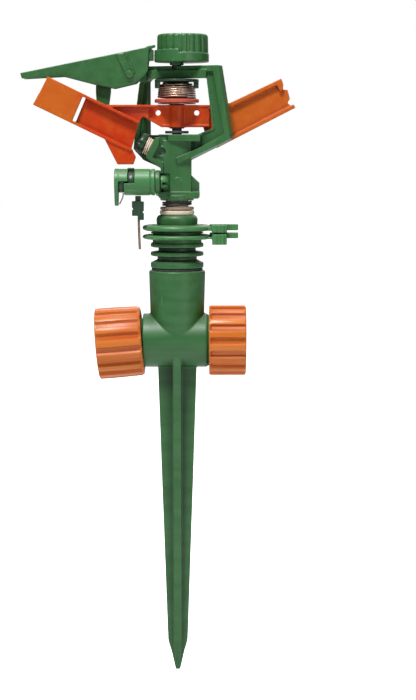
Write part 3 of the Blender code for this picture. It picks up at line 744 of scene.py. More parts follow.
def plate(
    name: str,
    outlines: Sequence[Sequence[Point2]],
    thickness: float,
    y: float = 0.0,
    yaw: float = 0.0,
) -> Piece:
    """Flat outlines of X and height, standing up, extruded to a thickness.

    Args:
        name: The object's name.
        outlines: The outer edge and any holes.
        thickness: The full thickness.
        y: The middle plane's place along Y before the yaw.
        yaw: The turn about the head's axis, in radians.

    Returns:
        The plate as a mesh object.
    """
    flat = poly_curve(name, "2D", [[(x * MM, h * MM, 0.0) for x, h in edge] for edge in outlines])
    flat.data.fill_mode = "BOTH"
    flat.data.extrude = thickness / 2 * MM
    for spline in flat.data.splines:
        spline.use_cyclic_u = True
    turn = Matrix.Rotation(yaw, 4, "Z")
    middle = turn @ Vector((0.0, y * MM, 0.0))
    upright = turn @ Matrix.Rotation(math.pi / 2, 4, "X")
    flat.matrix_world = Datum.place() @ Matrix.Translation(middle) @ upright
    return as_mesh(flat)


def as_mesh(curved: Piece) -> Piece:
    """The closed mesh of a curve object, in the curve's place."""
    bpy.context.view_layer.update()
    place = curved.matrix_world.copy()
    name = curved.name
    seen = curved.evaluated_get(bpy.context.evaluated_depsgraph_get())
    mesh = bpy.data.meshes.new_from_object(seen)
    bm = bmesh.new()
    bm.from_mesh(mesh)
    bmesh.ops.remove_doubles(bm, verts=bm.verts, dist=2e-6)
    bmesh.ops.recalc_face_normals(bm, faces=bm.faces)
    bm.to_mesh(mesh)
    bm.free()
    bpy.data.objects.remove(curved)
    return put_in_scene(name, mesh, place)


def facing_x(piece: Piece, x: float) -> Piece:
    """Turns a standing plate so that its outline is in Y and height, with its middle at X."""
    quarter = Matrix.Rotation(math.pi / 2, 4, "Z") @ Matrix.Rotation(math.pi / 2, 4, "X")
    piece.matrix_world = Datum.place(x) @ quarter
    return piece


def block(name: str, low: Point3, high: Point3) -> Piece:
    """A box between two corners."""
    bm = bmesh.new()
    bmesh.ops.create_cube(bm, size=1.0)
    size = [(b - a) * MM for a, b in zip(low, high)]
    middle = [(a + b) / 2 for a, b in zip(low, high)]
    bmesh.ops.transform(bm, matrix=Matrix.Diagonal((*size, 1.0)), verts=bm.verts)
    return from_bmesh(name, bm, Datum.place(*middle))


def rod(
    name: str, start: Point3, end: Point3, radius: float, tip: float | None = None, sides: int = 64
) -> Piece:
    """A closed cylinder or cone between two points."""
    a = Datum.point(*start)
    b = Datum.point(*end)
    bm = bmesh.new()
    last = radius if tip is None else tip
    bmesh.ops.create_cone(
        bm, cap_ends=True, segments=sides, radius1=radius * MM, radius2=last * MM, depth=(
            b - a
        ).length
    )
    turn = (b - a).to_track_quat("Z", "Y").to_matrix().to_4x4()
    return from_bmesh(name, bm, Matrix.Translation((a + b) / 2) @ turn)


def tube(name: str, route: Iterable[Point3], radius: float, smooth: int = 4) -> Piece:
    """A round wire with filled ends along a route."""
    made = poly_curve(name, "3D", [[Datum.point(*place) for place in route]])
    made.data.bevel_depth = radius * MM
    made.data.bevel_resolution = smooth
    made.data.use_fill_caps = True
    return crease(as_mesh(made), 60.0)


def combine(target: Piece, tools: Sequence[Piece], operation: str) -> Piece:
    """Joins or cuts a piece by other shapes and removes them."""
    for tool in tools:
        step = target.modifiers.new(operation.lower(), "BOOLEAN")
        step.operation = operation
        step.solver = "EXACT"
        step.object = tool
    applied(target)
    for tool in tools:
        bpy.data.objects.remove(tool)
    return target


def join(target: Piece, *tools: Piece) -> Piece:
    """The union of a piece and other shapes."""
    return combine(target, tools, "UNION")


def cut(target: Piece, *tools: Piece) -> Piece:
    """A piece less other shapes."""
    return combine(target, tools, "DIFFERENCE")


def moulded(
    piece: Piece, voxel: float = 0.3, rounds: int = 5, kept: float = 0.35
) -> Piece:
    """Gives a piece the soft edges and fillets of a moulding, by a fine remesh and smoothing.

    Args:
        piece: A closed piece.
        voxel: The remesh's cell in millimetres.
        rounds: The smoothing passes.
        kept: The share of faces kept where the surface is plain.

    Returns:
        The same object with its new mesh.
    """
    remesh = piece.modifiers.new("mould", "REMESH")
    remesh.mode = "VOXEL"
    remesh.voxel_size = voxel * MM
    remesh.use_smooth_shade = True
    ease = piece.modifiers.new("ease", "SMOOTH")
    ease.factor = 0.5
    ease.iterations = rounds
    thin = piece.modifiers.new("thin", "DECIMATE")
    thin.ratio = kept
    applied(piece)
    piece.data.shade_smooth()
    return piece


def arc(centre: Point2, radius: float, start: float, end: float, steps: int) -> list[Point2]:
    """Points round part of a circle, with its angles in degrees."""
    found = []
    for i in range(steps + 1):
        turn = math.radians(start + (end - start) * i / steps)
        found.append((centre[0] + radius * math.cos(turn), centre[1] + radius * math.sin(turn)))
    return found


def strip(points: Sequence[Point2], width: float) -> list[Point2]:
    """A band of a given width to the left of a run of points."""
    inner = []
    last = len(points) - 1
    for i, (x, h) in enumerate(points):
        ahead = Vector(points[min(i + 1, last)]) - Vector(points[max(i - 1, 0)])
        side = Vector((-ahead.y, ahead.x)).normalized() * width
        inner.append((x + side.x, h + side.y))
    return list(points) + inner[::-1]


def thinned(blade: Piece, start: float, share: float) -> Piece:
    """Thins a standing plate's foot evenly, from a height down to its lowest point.

    Args:
        blade: The plate.
        start: The height where the thinning starts.
        share: The thickness left at the lowest point, as a share of the full one.

    Returns:
        The plate.
    """
    lowest = min(vertex.co.y for vertex in blade.data.vertices)
    for vertex in blade.data.vertices:
        depth = (start * MM - vertex.co.y) / (start * MM - lowest)
        vertex.co.z *= 1 - (1 - share) * max(depth, 0.0)
    return blade


def mirrored(points: Sequence[Point2]) -> list[Point2]:
    """The same points on the other side, in reverse, without any on the middle line."""
    return [(-x, h) for x, h in reversed(points) if x > 0]


def helix(
    radius: float, low: float, high: float, turns: float, last: float | None = None,
    per_turn: int = 36, start: float = 0.0,
) -> list[Point3]:
    """Points along a coil about the head's axis, from a start in turns."""
    end = radius if last is None else last
    count = int(turns * per_turn)
    route = []
    for i in range(count + 1):
        share = i / count
        turn = 2 * math.pi * (start + turns * share)
        r = radius + (end - radius) * share
        route.append((r * math.cos(turn), r * math.sin(turn), low + (high - low) * share))
    return route


def ribbed(count: int, land: float, phase: float = 0.0) -> Callable[[float], float]:
    """A wave of broad crowned ribs with grooves between them.

    Args:
        count: The ribs round the turn.
        land: The share of each pitch that the rib's crown takes, from 0 to 1.
        phase: The turn of the first rib's middle, in radians.

    Returns:
        The wave: 0 on a crown and 1 in a groove.
    """

    def bite(turn: float) -> float:
        """The groove's depth at an angle."""
        place = ((turn - phase) * count / (2 * math.pi)) % 1.0
        off = min(place, 1.0 - place) * 2
        if off <= land:
            return 0.1 * (off / land) ** 2
        share = min((off - land) / 0.2, 1.0)
        return 0.1 + 0.9 * math.sin(share * math.pi / 2) ** 2

    return bite


# ---------------------------------------------------------------- sub-assemblies


@dataclass
class Assembly:
    """One sub-assembly: it builds its pieces and dresses each for its body and slot."""

    finishes: Finishes

    def publish(
        self, piece: Piece, body: Body, slot: Slot, *nodes: str
    ) -> Piece:
        """Dresses a piece, hangs it on its body and names the CAD nodes it stands for.

        Args:
            piece: The finished piece.
            body: The body that carries it.
            slot: Its material slot.
            nodes: The CAD nodes it replaces.

        Returns:
            The piece.
        """
        piece.data.materials.clear()
        piece.data.materials.append(self.finishes.of(slot))
        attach(piece, body.value)
        if nodes:
            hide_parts(*nodes)
        LOG.info("%s on %s, %d faces", piece.name, body.value, len(piece.data.polygons))
        return piece


    def turned(
        self, name: str, profile: Profile, place: Matrix, steps: int, body: Body, slot: Slot,
        *nodes: str,
    ) -> None:
        """Turns a closed ring and publishes it."""
        self.publish(swept(name, profile, place, steps, closed=True), body, slot, *nodes)


@dataclass
class GroundStand(Assembly):
    """The spike, tee and riser in one moulding."""

    tube_radius: float = 13.3
    tube_height: float = 13.4
    riser_top: float = 48.2
    riser_radius: float = 13.9
    blade: float = 3.9
    spike_half: float = 9.55

    def build(self) -> None:
        """Builds the moulding and its bores."""
        h = self.tube_height
        quarter = Matrix.Rotation(math.pi / 2, 4, "Y")
        profile = [
            (0, 28.5), (12.0, 28.5), (12.6, 27.9), (12.6, 15.3), (12.9, 14.9),
            (self.tube_radius, 14.6),
            (self.tube_radius, -16.6), (13.0, -16.9), (10.8, -16.9), (10.8, -25.6), (12.4, -25.6),
            (12.4, -27.6), (0, -27.6),
        ]
        tee = swept("stand_moulding", profile, Datum.place(0, 0, h) @ quarter, 128)
        riser_profile = [
            (0, self.riser_top), (13.2, self.riser_top), (self.riser_radius, self.riser_top - 0.6),
            (self.riser_radius - 0.1, self.riser_top - 2.6), (13.3, 27.0), (12.88, h + 4.0),
            (12.86, h), (0, h),
        ]
        riser = swept("riser", riser_profile, Datum.place(), 128)
        tip = -Datum.base / MM
        side = [
            (self.spike_half, 3.0), (self.spike_half, -1.0), (7.8, -56.0), (4.95, -138.5),
            (4.4, -141.2), (3.5, -143.9), (1.5, tip + 1.6), (1.1, tip),
        ]
        front = [
            (11.6, 8.4), (11.0, 4.0), (10.1, -4.0), (9.0, -14.0), (7.3, -56.0), (4.7, -138.5),
            (4.1, -141.2), (3.3, -143.9), (1.3, tip + 1.6), (1.0, tip + 0.3),
        ]
        wide = plate("wide_blade", [side + mirrored(side)], self.blade)
        deep = plate("deep_blade", [front + mirrored(front)], self.blade, yaw=math.pi / 2)
        join(tee, riser, thinned(wide, -140.0, 0.55), thinned(deep, -140.0, 0.55))
        bore = rod("tube_bore", (-40, 0, h), (40, 0, h), 9.6)
        thread = rod("thread_bore", (0, 0, 30.0), (0, 0, 60), 11.2)
        rise = rod("riser_bore", (0, 0, h), (0, 0, 31), 9.3)
        cut(tee, bore, thread, rise)
        moulded(tee, voxel=0.32, rounds=3, kept=0.22)
        self.publish(tee, Body.STAND, Slot.GREEN, "spike_tee")


@dataclass
class HoseCoupling(Assembly):
    """The loose ribbed coupling, hanging slightly askew, with its washer."""

    radius: float = 17.5
    ribs: int = 16
    groove: float = 1.5
    length: float = 22.6
    tilt: float = math.radians(4.4)

    def build(self) -> None:
        """Builds the coupling with its internal thread."""
        wave = ribbed(self.ribs, 0.45, math.radians(5.0))
        length = self.length
        profile: list[tuple[float, ...]] = [
            (13.6, length, 0), (15.7, length, 0.0), (16.9, length - 0.15, 0.9),
            (17.4, length - 0.5, 1.3), (self.radius, length - 0.9, self.groove),
            (self.radius, 12.0, self.groove), (17.2, 1.6, self.groove), (16.95, 0.9, 0.9),
            (16.5, 0.3, 0.3), (15.8, 0.0, 0.0), (14.0, 0.0, 0), (14.0, 1.4, 0),
            (12.1, 1.5, 0), (12.1, 4.0, 0), (14.0, 4.3, 0), (14.0, 17.9, 0),
        ]
        for i in range(3):
            start = 18.2 + i * 1.3
            profile += [
                (13.2, start, 0), (13.2, start + 0.5, 0), (13.7, start + 0.8, 0),
                (13.7, start + 1.1, 0),
            ]
        foot = Datum.place(-17.15, 0, 13.2)
        turn = Matrix.Rotation(-(math.pi / 2 + self.tilt), 4, "Y")
        piece = swept("hose_coupling", profile, foot @ turn, 224, closed=True, wave=wave)
        self.publish(piece, Body.COUPLING, Slot.ORANGE, "inlet_coupling")


@dataclass
class EndPlug(Assembly):
    """The ribbed cap on the closed end of the tee."""

    radius: float = 17.5
    ribs: int = 16
    groove: float = 1.5
    inner_face: float = 15.7
    outer_face: float = 34.0

    def build(self) -> None:
        """Builds the cap with its flange and blind socket."""
        wave = ribbed(self.ribs, 0.45, math.radians(6.0))
        a, b = self.inner_face, self.outer_face
        profile: list[tuple[float, ...]] = [
            (0, b - 0.6, 0), (11.5, b - 0.5, 0), (12.0, b, 0), (15.7, b, 0.2), (16.9, b - 0.2, 0.9),
            (17.4, b - 0.6, 1.3), (self.radius, b - 1.1, self.groove),
            (self.radius, a + 1.3, self.groove),
            (17.4, a + 0.9, 1.0), (17.3, a + 0.6, 0.3), (17.2, a + 0.2, 0), (16.9, a, 0),
            (13.2, a, 0), (13.2, 31.4, 0), (0, 31.4, 0),
        ]
        turn = Matrix.Rotation(math.pi / 2, 4, "Y")
        piece = swept("end_plug", profile, Datum.place(0, 0, 13.4) @ turn, 224, wave=wave)
        self.publish(piece, Body.CAP, Slot.ORANGE, "end_cap")


@dataclass
class BearingSleeve(Assembly):
    """The ringed sleeve, its domed nut, the washers and the thrust spring."""

    ring: float = 13.0
    hub: float = 12.0
    hole: float = 6.1

    def build(self) -> None:
        """Builds the turned pieces from the riser up to the head."""
        self._sleeve()
        self._nut()
        self._washers()
        self._spring()

    def _sleeve(self) -> None:
        """The sleeve with three rounded rings."""
        profile: list[tuple[float, ...]] = [
            (self.hub - 0.2, 70.7), (self.hub, 70.5), (self.hub, 67.2), (12.9, 67.0), (12.9, 66.6),
            (self.hub, 66.4), (self.hub, 62.0),
        ]
        for top, bottom, neck in ((61.7, 59.7, 9.2), (57.4, 55.4, 9.7), (52.3, 49.5, 10.9)):
            r = self.ring
            profile += [(r - 0.6, top), (r - 0.15, top - 0.2), (r, top - 0.6), (r, bottom + 0.5)]
            profile += [(r - 0.15, bottom + 0.15), (r - 0.6, bottom), (neck + 0.4, bottom - 0.1)]
            if bottom > 50:
                profile += [(neck, bottom - 0.5), (neck, bottom - 1.7), (neck + 0.4, bottom - 2.0)]
        profile += [(10.9, 49.2), (10.9, 36.0), (self.hole, 36.0), (self.hole, 70.7)]
        self.turned(
            "bearing_sleeve", profile, Datum.place(), 128, Body.STAND, Slot.GREEN, "base_nipple",
        )

    def _nut(self) -> None:
        """The domed nut, with two flats' worth of rounding at its shoulder."""
        profile = [
            (8.2, 75.45), (8.6, 75.35), (9.4, 74.9), (9.9, 74.2), (10.1, 73.4), (10.15, 72.4),
            (10.0, 71.6),
            (10.0, 71.0), (self.hole, 71.0), (self.hole, 75.45),
        ]
        self.turned("domed_nut", profile, Datum.place(), 128, Body.STAND, Slot.GREEN, "bearing_nut")

    def _washers(self) -> None:
        """The cream and brown washers, with softened rims."""
        for name, node, outer, low, high, slot in (
            ("cream_washer", "nylon_washer", 8.5, 75.65, 77.6, Slot.CREAM),
            ("brown_washer", "fibre_washer", 8.3, 77.9, 79.3, Slot.FIBRE),
        ):
            profile = [
                (outer - 0.4, high), (outer - 0.1, high - 0.15), (outer, high - 0.45),
                (outer, low + 0.4), (outer - 0.1, low + 0.12), (outer - 0.4, low),
                (self.hole, low), (self.hole, high),
            ]
            self.turned(name, profile, Datum.place(), 96, Body.HEAD, slot, node)

    def _spring(self) -> None:
        """The flat black thrust spring."""
        route = helix(6.85, 79.95, 81.85, 1.8, start=0.2)
        piece = tube("head_thrust_spring", route, 0.5)
        self.publish(piece, Body.HEAD, Slot.RUBBER, "thrust_spring")


# The heights of each collar's grip grooves, and its tab blocks between two corners.
COLLAR_TABS: dict[Body, tuple[Point2, tuple[tuple[str, Point3, Point3], ...]]] = {
    Body.COLLAR_UPPER: ((64.0, 72.0), (
        ("front_arm", (13.6, -8.0, 67.9), (17.4, -6.0, 70.0)),
        ("rear_arm", (15.0, -4.2, 68.2), (16.4, -2.0, 70.2)),
        ("front_tab", (17.0, -8.4, 67.1), (24.5, -5.6, 70.6)),
        ("rear_tab", (16.0, -4.6, 68.0), (30.0, -1.6, 71.0)),
    )),
    Body.COLLAR_LOWER: ((60.0, 66.0), (
        ("front_arm", (13.6, -8.0, 63.9), (17.6, -6.0, 64.9)),
        ("rear_arm", (15.0, -4.2, 64.4), (16.4, -2.0, 65.5)),
        ("front_tab", (17.2, -8.4, 61.1), (24.4, -5.6, 66.2)),
        ("rear_tab", (16.0, -4.6, 64.1), (30.0, -1.6, 66.9)),
    )),
}


@dataclass
class TripCollars(Assembly):
    """The two split clip rings that set the arc, each with its pair of finger tabs."""

    radius: float = 17.0
    hole: float = 12.4

    def build(self) -> None:
        """Builds both rings."""
        self._ring(Body.COLLAR_UPPER, "upper_clip", "trip_collar_upper", 69.1, 1.6)
        self._ring(Body.COLLAR_LOWER, "lower_clip", "trip_collar_lower", 64.7, 1.3)

    def _ring(self, body: Body, name: str, node: str, height: float, deep: float) -> None:
        """One ring with its tabs."""
        r = self.radius
        profile = [
            (r - 1.6, height + deep * 0.85), (r - 0.5, height + deep * 0.62),
            (r, height + deep * 0.2),
            (r, height - deep * 0.2), (r - 0.5, height - deep * 0.62),
            (r - 1.6, height - deep * 0.85),
            (self.hole, height - deep * 0.85), (self.hole, height + deep * 0.85),
        ]
        ring = swept(name, profile, Datum.place(), 128, closed=True)
        (foot, head), tabs = COLLAR_TABS[body]
        steps = [i * 1.7 for i in range(3)]
        grooves = [block("grip", (19.4 + s, -9.0, foot), (19.9 + s, -8.1, head)) for s in steps]
        join(ring, *(block(label, low, high) for label, low, high in tabs))
        cut(ring, *grooves)
        moulded(ring, voxel=0.24, rounds=3)
        self.publish(ring, body, Slot.BRIGHT_GREEN, node)


@dataclass
class SwivelHead(Assembly):
    """The cast head with its bridge, column, lugs and nozzle boss."""

    yaw: float = math.radians(-24.0)
    rib_yaw: float = math.radians(-14.5)
    web: float = 2.4
    rim: float = 5.2
    column: float = 5.6

    def build(self) -> None:
        """Builds the casting and the small pieces fixed to it."""
        body = self._column()
        join(body, *self._bridge(), *self._lugs(), *self._ribs())
        cut(body, *self._holes())
        moulded(body, voxel=0.25, rounds=4)
        self.publish(body, Body.HEAD, Slot.GREEN, "head_body")
        self._retainer()
        self._shaft()

    def outline(self, inset: float) -> list[Point2]:
        """The bridge's outer edge in its own plane, moved in by an inset."""
        corner = arc((-13.6, 144.4 - inset * 0.2), 3.2 - inset * 0.4, 170, 90, 6)
        return [
            (23.1 - inset, 147.6 - inset),
            *[(x + inset * 0.8, h - inset * 0.8) for x, h in reversed(corner)],
            (-19.2 + inset, 139.0),
            (-20.6 + inset, 129.4),
            (-22.5 + inset, 107.4 + inset * 0.4),
            (-17.0 + inset * 0.4, 102.0 + inset),
            (-9.8, 99.2 + inset),
            (0.5, 99.2 + inset),
            (27.2 - inset, 111.4 + inset * 0.9),
            (29.0 - inset, 113.6 + inset * 0.5),
        ]

    def _column(self) -> Piece:
        """The column with its flat front, and the square flange with its round foot."""
        profile = [
            (0, 114.6), (self.column, 114.6), (self.column, 85.0), (8.2, 85.0), (8.2, 82.5),
            (0, 82.5),
        ]
        flange = [
            (-9.1, 86.8), (-9.1, 84.6), (-8.0, 83.5), (10.2, 83.5), (11.1, 84.2), (11.1, 86.8),
        ]
        return join(
            swept("head_casting", profile, Datum.place(), 96),
            block("column_block", (-6.6, -6.3, 85.5), (7.1, 6.4, 111.6)),
            plate("flange", [flange], 13.8),
        )

    def _bridge(self) -> list[Piece]:
        """The web with its window, the rims on both faces, the table and the beam."""
        window = [(16.5, 141.8), (-14.8, 141.8), (-14.8, 114.3), (10.8, 114.3), (19.7, 117.5)]
        pocket = [(-14.8, 112.0), (-17.2, 109.0), (-15.4, 105.4), (-8.0, 103.2), (-8.0, 112.0)]
        lip = [(17.4, 142.6), (-15.7, 142.6), (-15.7, 113.4), (11.0, 113.4), (20.9, 116.9)]
        return [
            plate("web", [self.outline(0.3), window, pocket], self.web, yaw=self.yaw),
            plate("rim", [self.outline(0.0), self.outline(2.9)], self.rim, yaw=self.yaw),
            plate("lip", [lip, window], 3.6, yaw=self.yaw),
            plate(
                "table", [[(-8.4, 111.3), (13.4, 111.3), (13.4, 114.6), (-8.4, 114.6)]], 7.4,
                yaw=self.yaw,
            ),
            plate(
                "beam", [[(-14.0, 141.6), (17.0, 141.6), (17.0, 145.6), (-14.0, 145.6)]], 7.0,
                yaw=self.yaw,
            ),
        ]

    def _lugs(self) -> list[Piece]:
        """The nozzle boss, the trip lug and the deflector's ear."""
        y, h = TRIP_Y, TRIP_HEIGHT
        nose = arc((y, h), 5.8, 90, 270, 16)
        lug = facing_x(plate("trip_lug", [[(1.5, 84.6), (1.5, 93.5), *nose]], 2.2), -9.2)
        ear_nose = arc(FLAP_PIVOT, 3.0, 90, 270, 12)
        px, ph = FLAP_PIVOT
        return [
            rod("boss", Nozzle.point(-6.0), Nozzle.point(4.4), 4.6),
            rod("boss_ring", Nozzle.point(3.2), Nozzle.point(4.5), 4.9),
            lug,
            rod("lug_ring", (-10.4, y, h), (-7.9, y, h), 4.4),
            block("lug_foot", (-10.4, -4.6, 86.2), (-3.0, 1.6, 95.4)),
            plate("ear", [[(-15.0, 140.2), (-15.0, 146.8), *ear_nose]], 3.0, y=4.7),
            rod("ear_boss", (px, 0.2, ph), (px, 9.9, ph), 2.6),
        ]

    def _ribs(self) -> list[Piece]:
        """The gusset beside the column, the ribs that frame the nozzle boss, and small marks."""
        gusset = [(5.0, 95.8), (7.1, 94.7), (11.0, 91.0), (11.0, 86.0), (5.0, 86.0)]
        frame = [
            (-10.4, 113.1), (-15.0, 103.5), (-9.8, 99.5), (-7.8, 98.3), (-7.8, 95.2),
            (-6.6, 95.2), (-6.6, 101.1), (-11.8, 103.5), (-8.6, 109.5), (-8.0, 113.1),
        ]
        panel = [(-10.0, 113.0), (-14.4, 103.7), (-7.0, 100.4), (-5.0, 100.4), (-5.0, 113.0)]
        rib = [(1.5, 100.1), (1.5, 103.1), (26.6, 114.3), (28.9, 112.6)]
        ledge = [(-2.6, 111.2), (13.8, 111.2), (13.8, 114.5), (-2.6, 114.5)]
        return [
            plate("gusset", [gusset], 9.6),
            plate("front_rib", [rib], 4.4, y=-4.6, yaw=self.rib_yaw),
            plate("front_ledge", [ledge], 5.4, y=-4.9, yaw=self.rib_yaw),
            plate("frame", [frame], 5.8, y=-5.1),
            plate("panel", [panel], 1.2, y=-5.4),
            rod("dimple_ring", (-7.4, -6.4, 106.3), (-7.4, -5.0, 106.3), 2.7, sides=40),
            rod("sprue", (0.4, -6.6, 91.8), (0.4, -5.0, 91.8), 1.9, sides=40),
        ]

    def _holes(self) -> list[Piece]:
        """Every bore of the casting."""
        y, h = TRIP_Y, TRIP_HEIGHT
        px, ph = FLAP_PIVOT
        return [
            rod("shaft_hole", (0, 0, 110.0), (0, 0, 160), 2.75),
            rod("spindle_socket", (0, 0, 80), (0, 0, 90.3), 5.7),
            block("snap_room", (-9.0, -9.0, 87.4), (-3.5, -5.75, 95.6)),
            rod("waterway", (0, 0, 85), (0, 0, 107), 4.0),
            rod("jet_bore", Nozzle.point(-5.6), Nozzle.point(9), 3.1),
            rod("pin_hole", (px, -5, ph), (px, 15, ph), 1.5),
            rod("trip_hole", (-14, y, h), (-6.5, y, h), 2.3),
            rod("insert_room", Nozzle.point(4.6), Nozzle.point(10.6), 4.5, sides=48),
            rod("dimple", (-7.4, -8.0, 106.3), (-7.4, -5.2, 106.3), 1.9, sides=40),
        ]

    def _retainer(self) -> None:
        """The toothed crown that holds the arm spring's upper end."""
        profile = [
            (10.5, 141.2), (10.8, 141.0), (10.8, 140.2), (10.4, 140.0), (3.1, 140.0), (3.1, 141.2),
        ]
        crown = swept("spring_crown", profile, Datum.place(), 96, closed=True)
        teeth = []
        for i in range(8):
            turn = 22.5 + 45 * i
            if abs(turn - 270) < 30:
                continue
            tooth = block("tooth", (-0.6, -1.9, 136.9), (0.6, 1.9, 140.4))
            place = Datum.place(10.2, 0, 138.65)
            tooth.matrix_world = Matrix.Rotation(math.radians(turn), 4, "Z") @ place
            teeth.append(tooth)
        join(crown, *teeth)
        moulded(crown, voxel=0.2, rounds=2)
        self.publish(crown, Body.HEAD, Slot.DARK_GREEN, "spring_retainer")

    def _shaft(self) -> None:
        """The steel shaft and the black washer at its foot."""
        shaft = swept(
            "arm_spindle",
            [(0, 158.0), (2.0, 158.0), (2.4, 157.5), (2.4, 110.8), (2.0, 110.4), (0, 110.4)],
            Datum.place(), 64,
        )
        self.publish(shaft, Body.HEAD, Slot.RUBBER, "arm_shaft")
        profile = [
            (5.5, 116.3), (5.8, 116.0), (5.8, 115.2), (5.5, 115.0), (2.75, 115.0), (2.75, 116.3),
        ]
        self.turned("foot_washer", profile, Datum.place(), 96, Body.HEAD, Slot.RUBBER, "arm_washer")


@dataclass
class Nozzle(Assembly):
    """The threaded insert and its cap."""

    @staticmethod
    def point(distance: float) -> Point3:
        """A point that far out along the nozzle's axis."""
        out, up = math.cos(NOZZLE_ANGLE), math.sin(NOZZLE_ANGLE)
        return (-6.0 - distance * out, -1.5, 105.1 + distance * up)

    def build(self) -> None:
        """Builds the insert with its thread ridges, and the cap with its recessed mouth."""
        turn = Matrix.Rotation(-(math.pi / 2 - NOZZLE_ANGLE), 4, "Y")
        foot = Datum.place(*self.point(0.0)) @ turn
        insert: list[tuple[float, ...]] = [(3.6, 10.4)]
        for i in range(5):
            low = 9.4 - i * 1.0
            insert += [
                (4.3, low + 0.65), (4.35, low + 0.5), (4.25, low + 0.35), (3.85, low + 0.1),
                (3.8, low),
            ]
        insert += [(4.2, 4.8), (2.8, 4.8), (2.0, 10.4)]
        self.turned("threaded_insert", insert, foot, 72, Body.HEAD, Slot.CREAM, "nozzle_insert")
        cap = [
            (3.6, 14.2), (4.2, 14.1), (4.9, 13.4), (5.2, 12.6), (5.2, 11.2), (4.9, 10.7),
            (1.9, 10.7),
            (1.9, 13.0), (3.0, 14.1),
        ]
        wave = ribbed(10, 0.5)
        ridged = [(r, h, 0.5 if r > 4.8 else 0.0) for r, h in cap]
        end = swept("jet_cap", ridged, foot, 120, closed=True, wave=wave)
        self.publish(end, Body.HEAD, Slot.DARK_GREEN, "nozzle_cap")


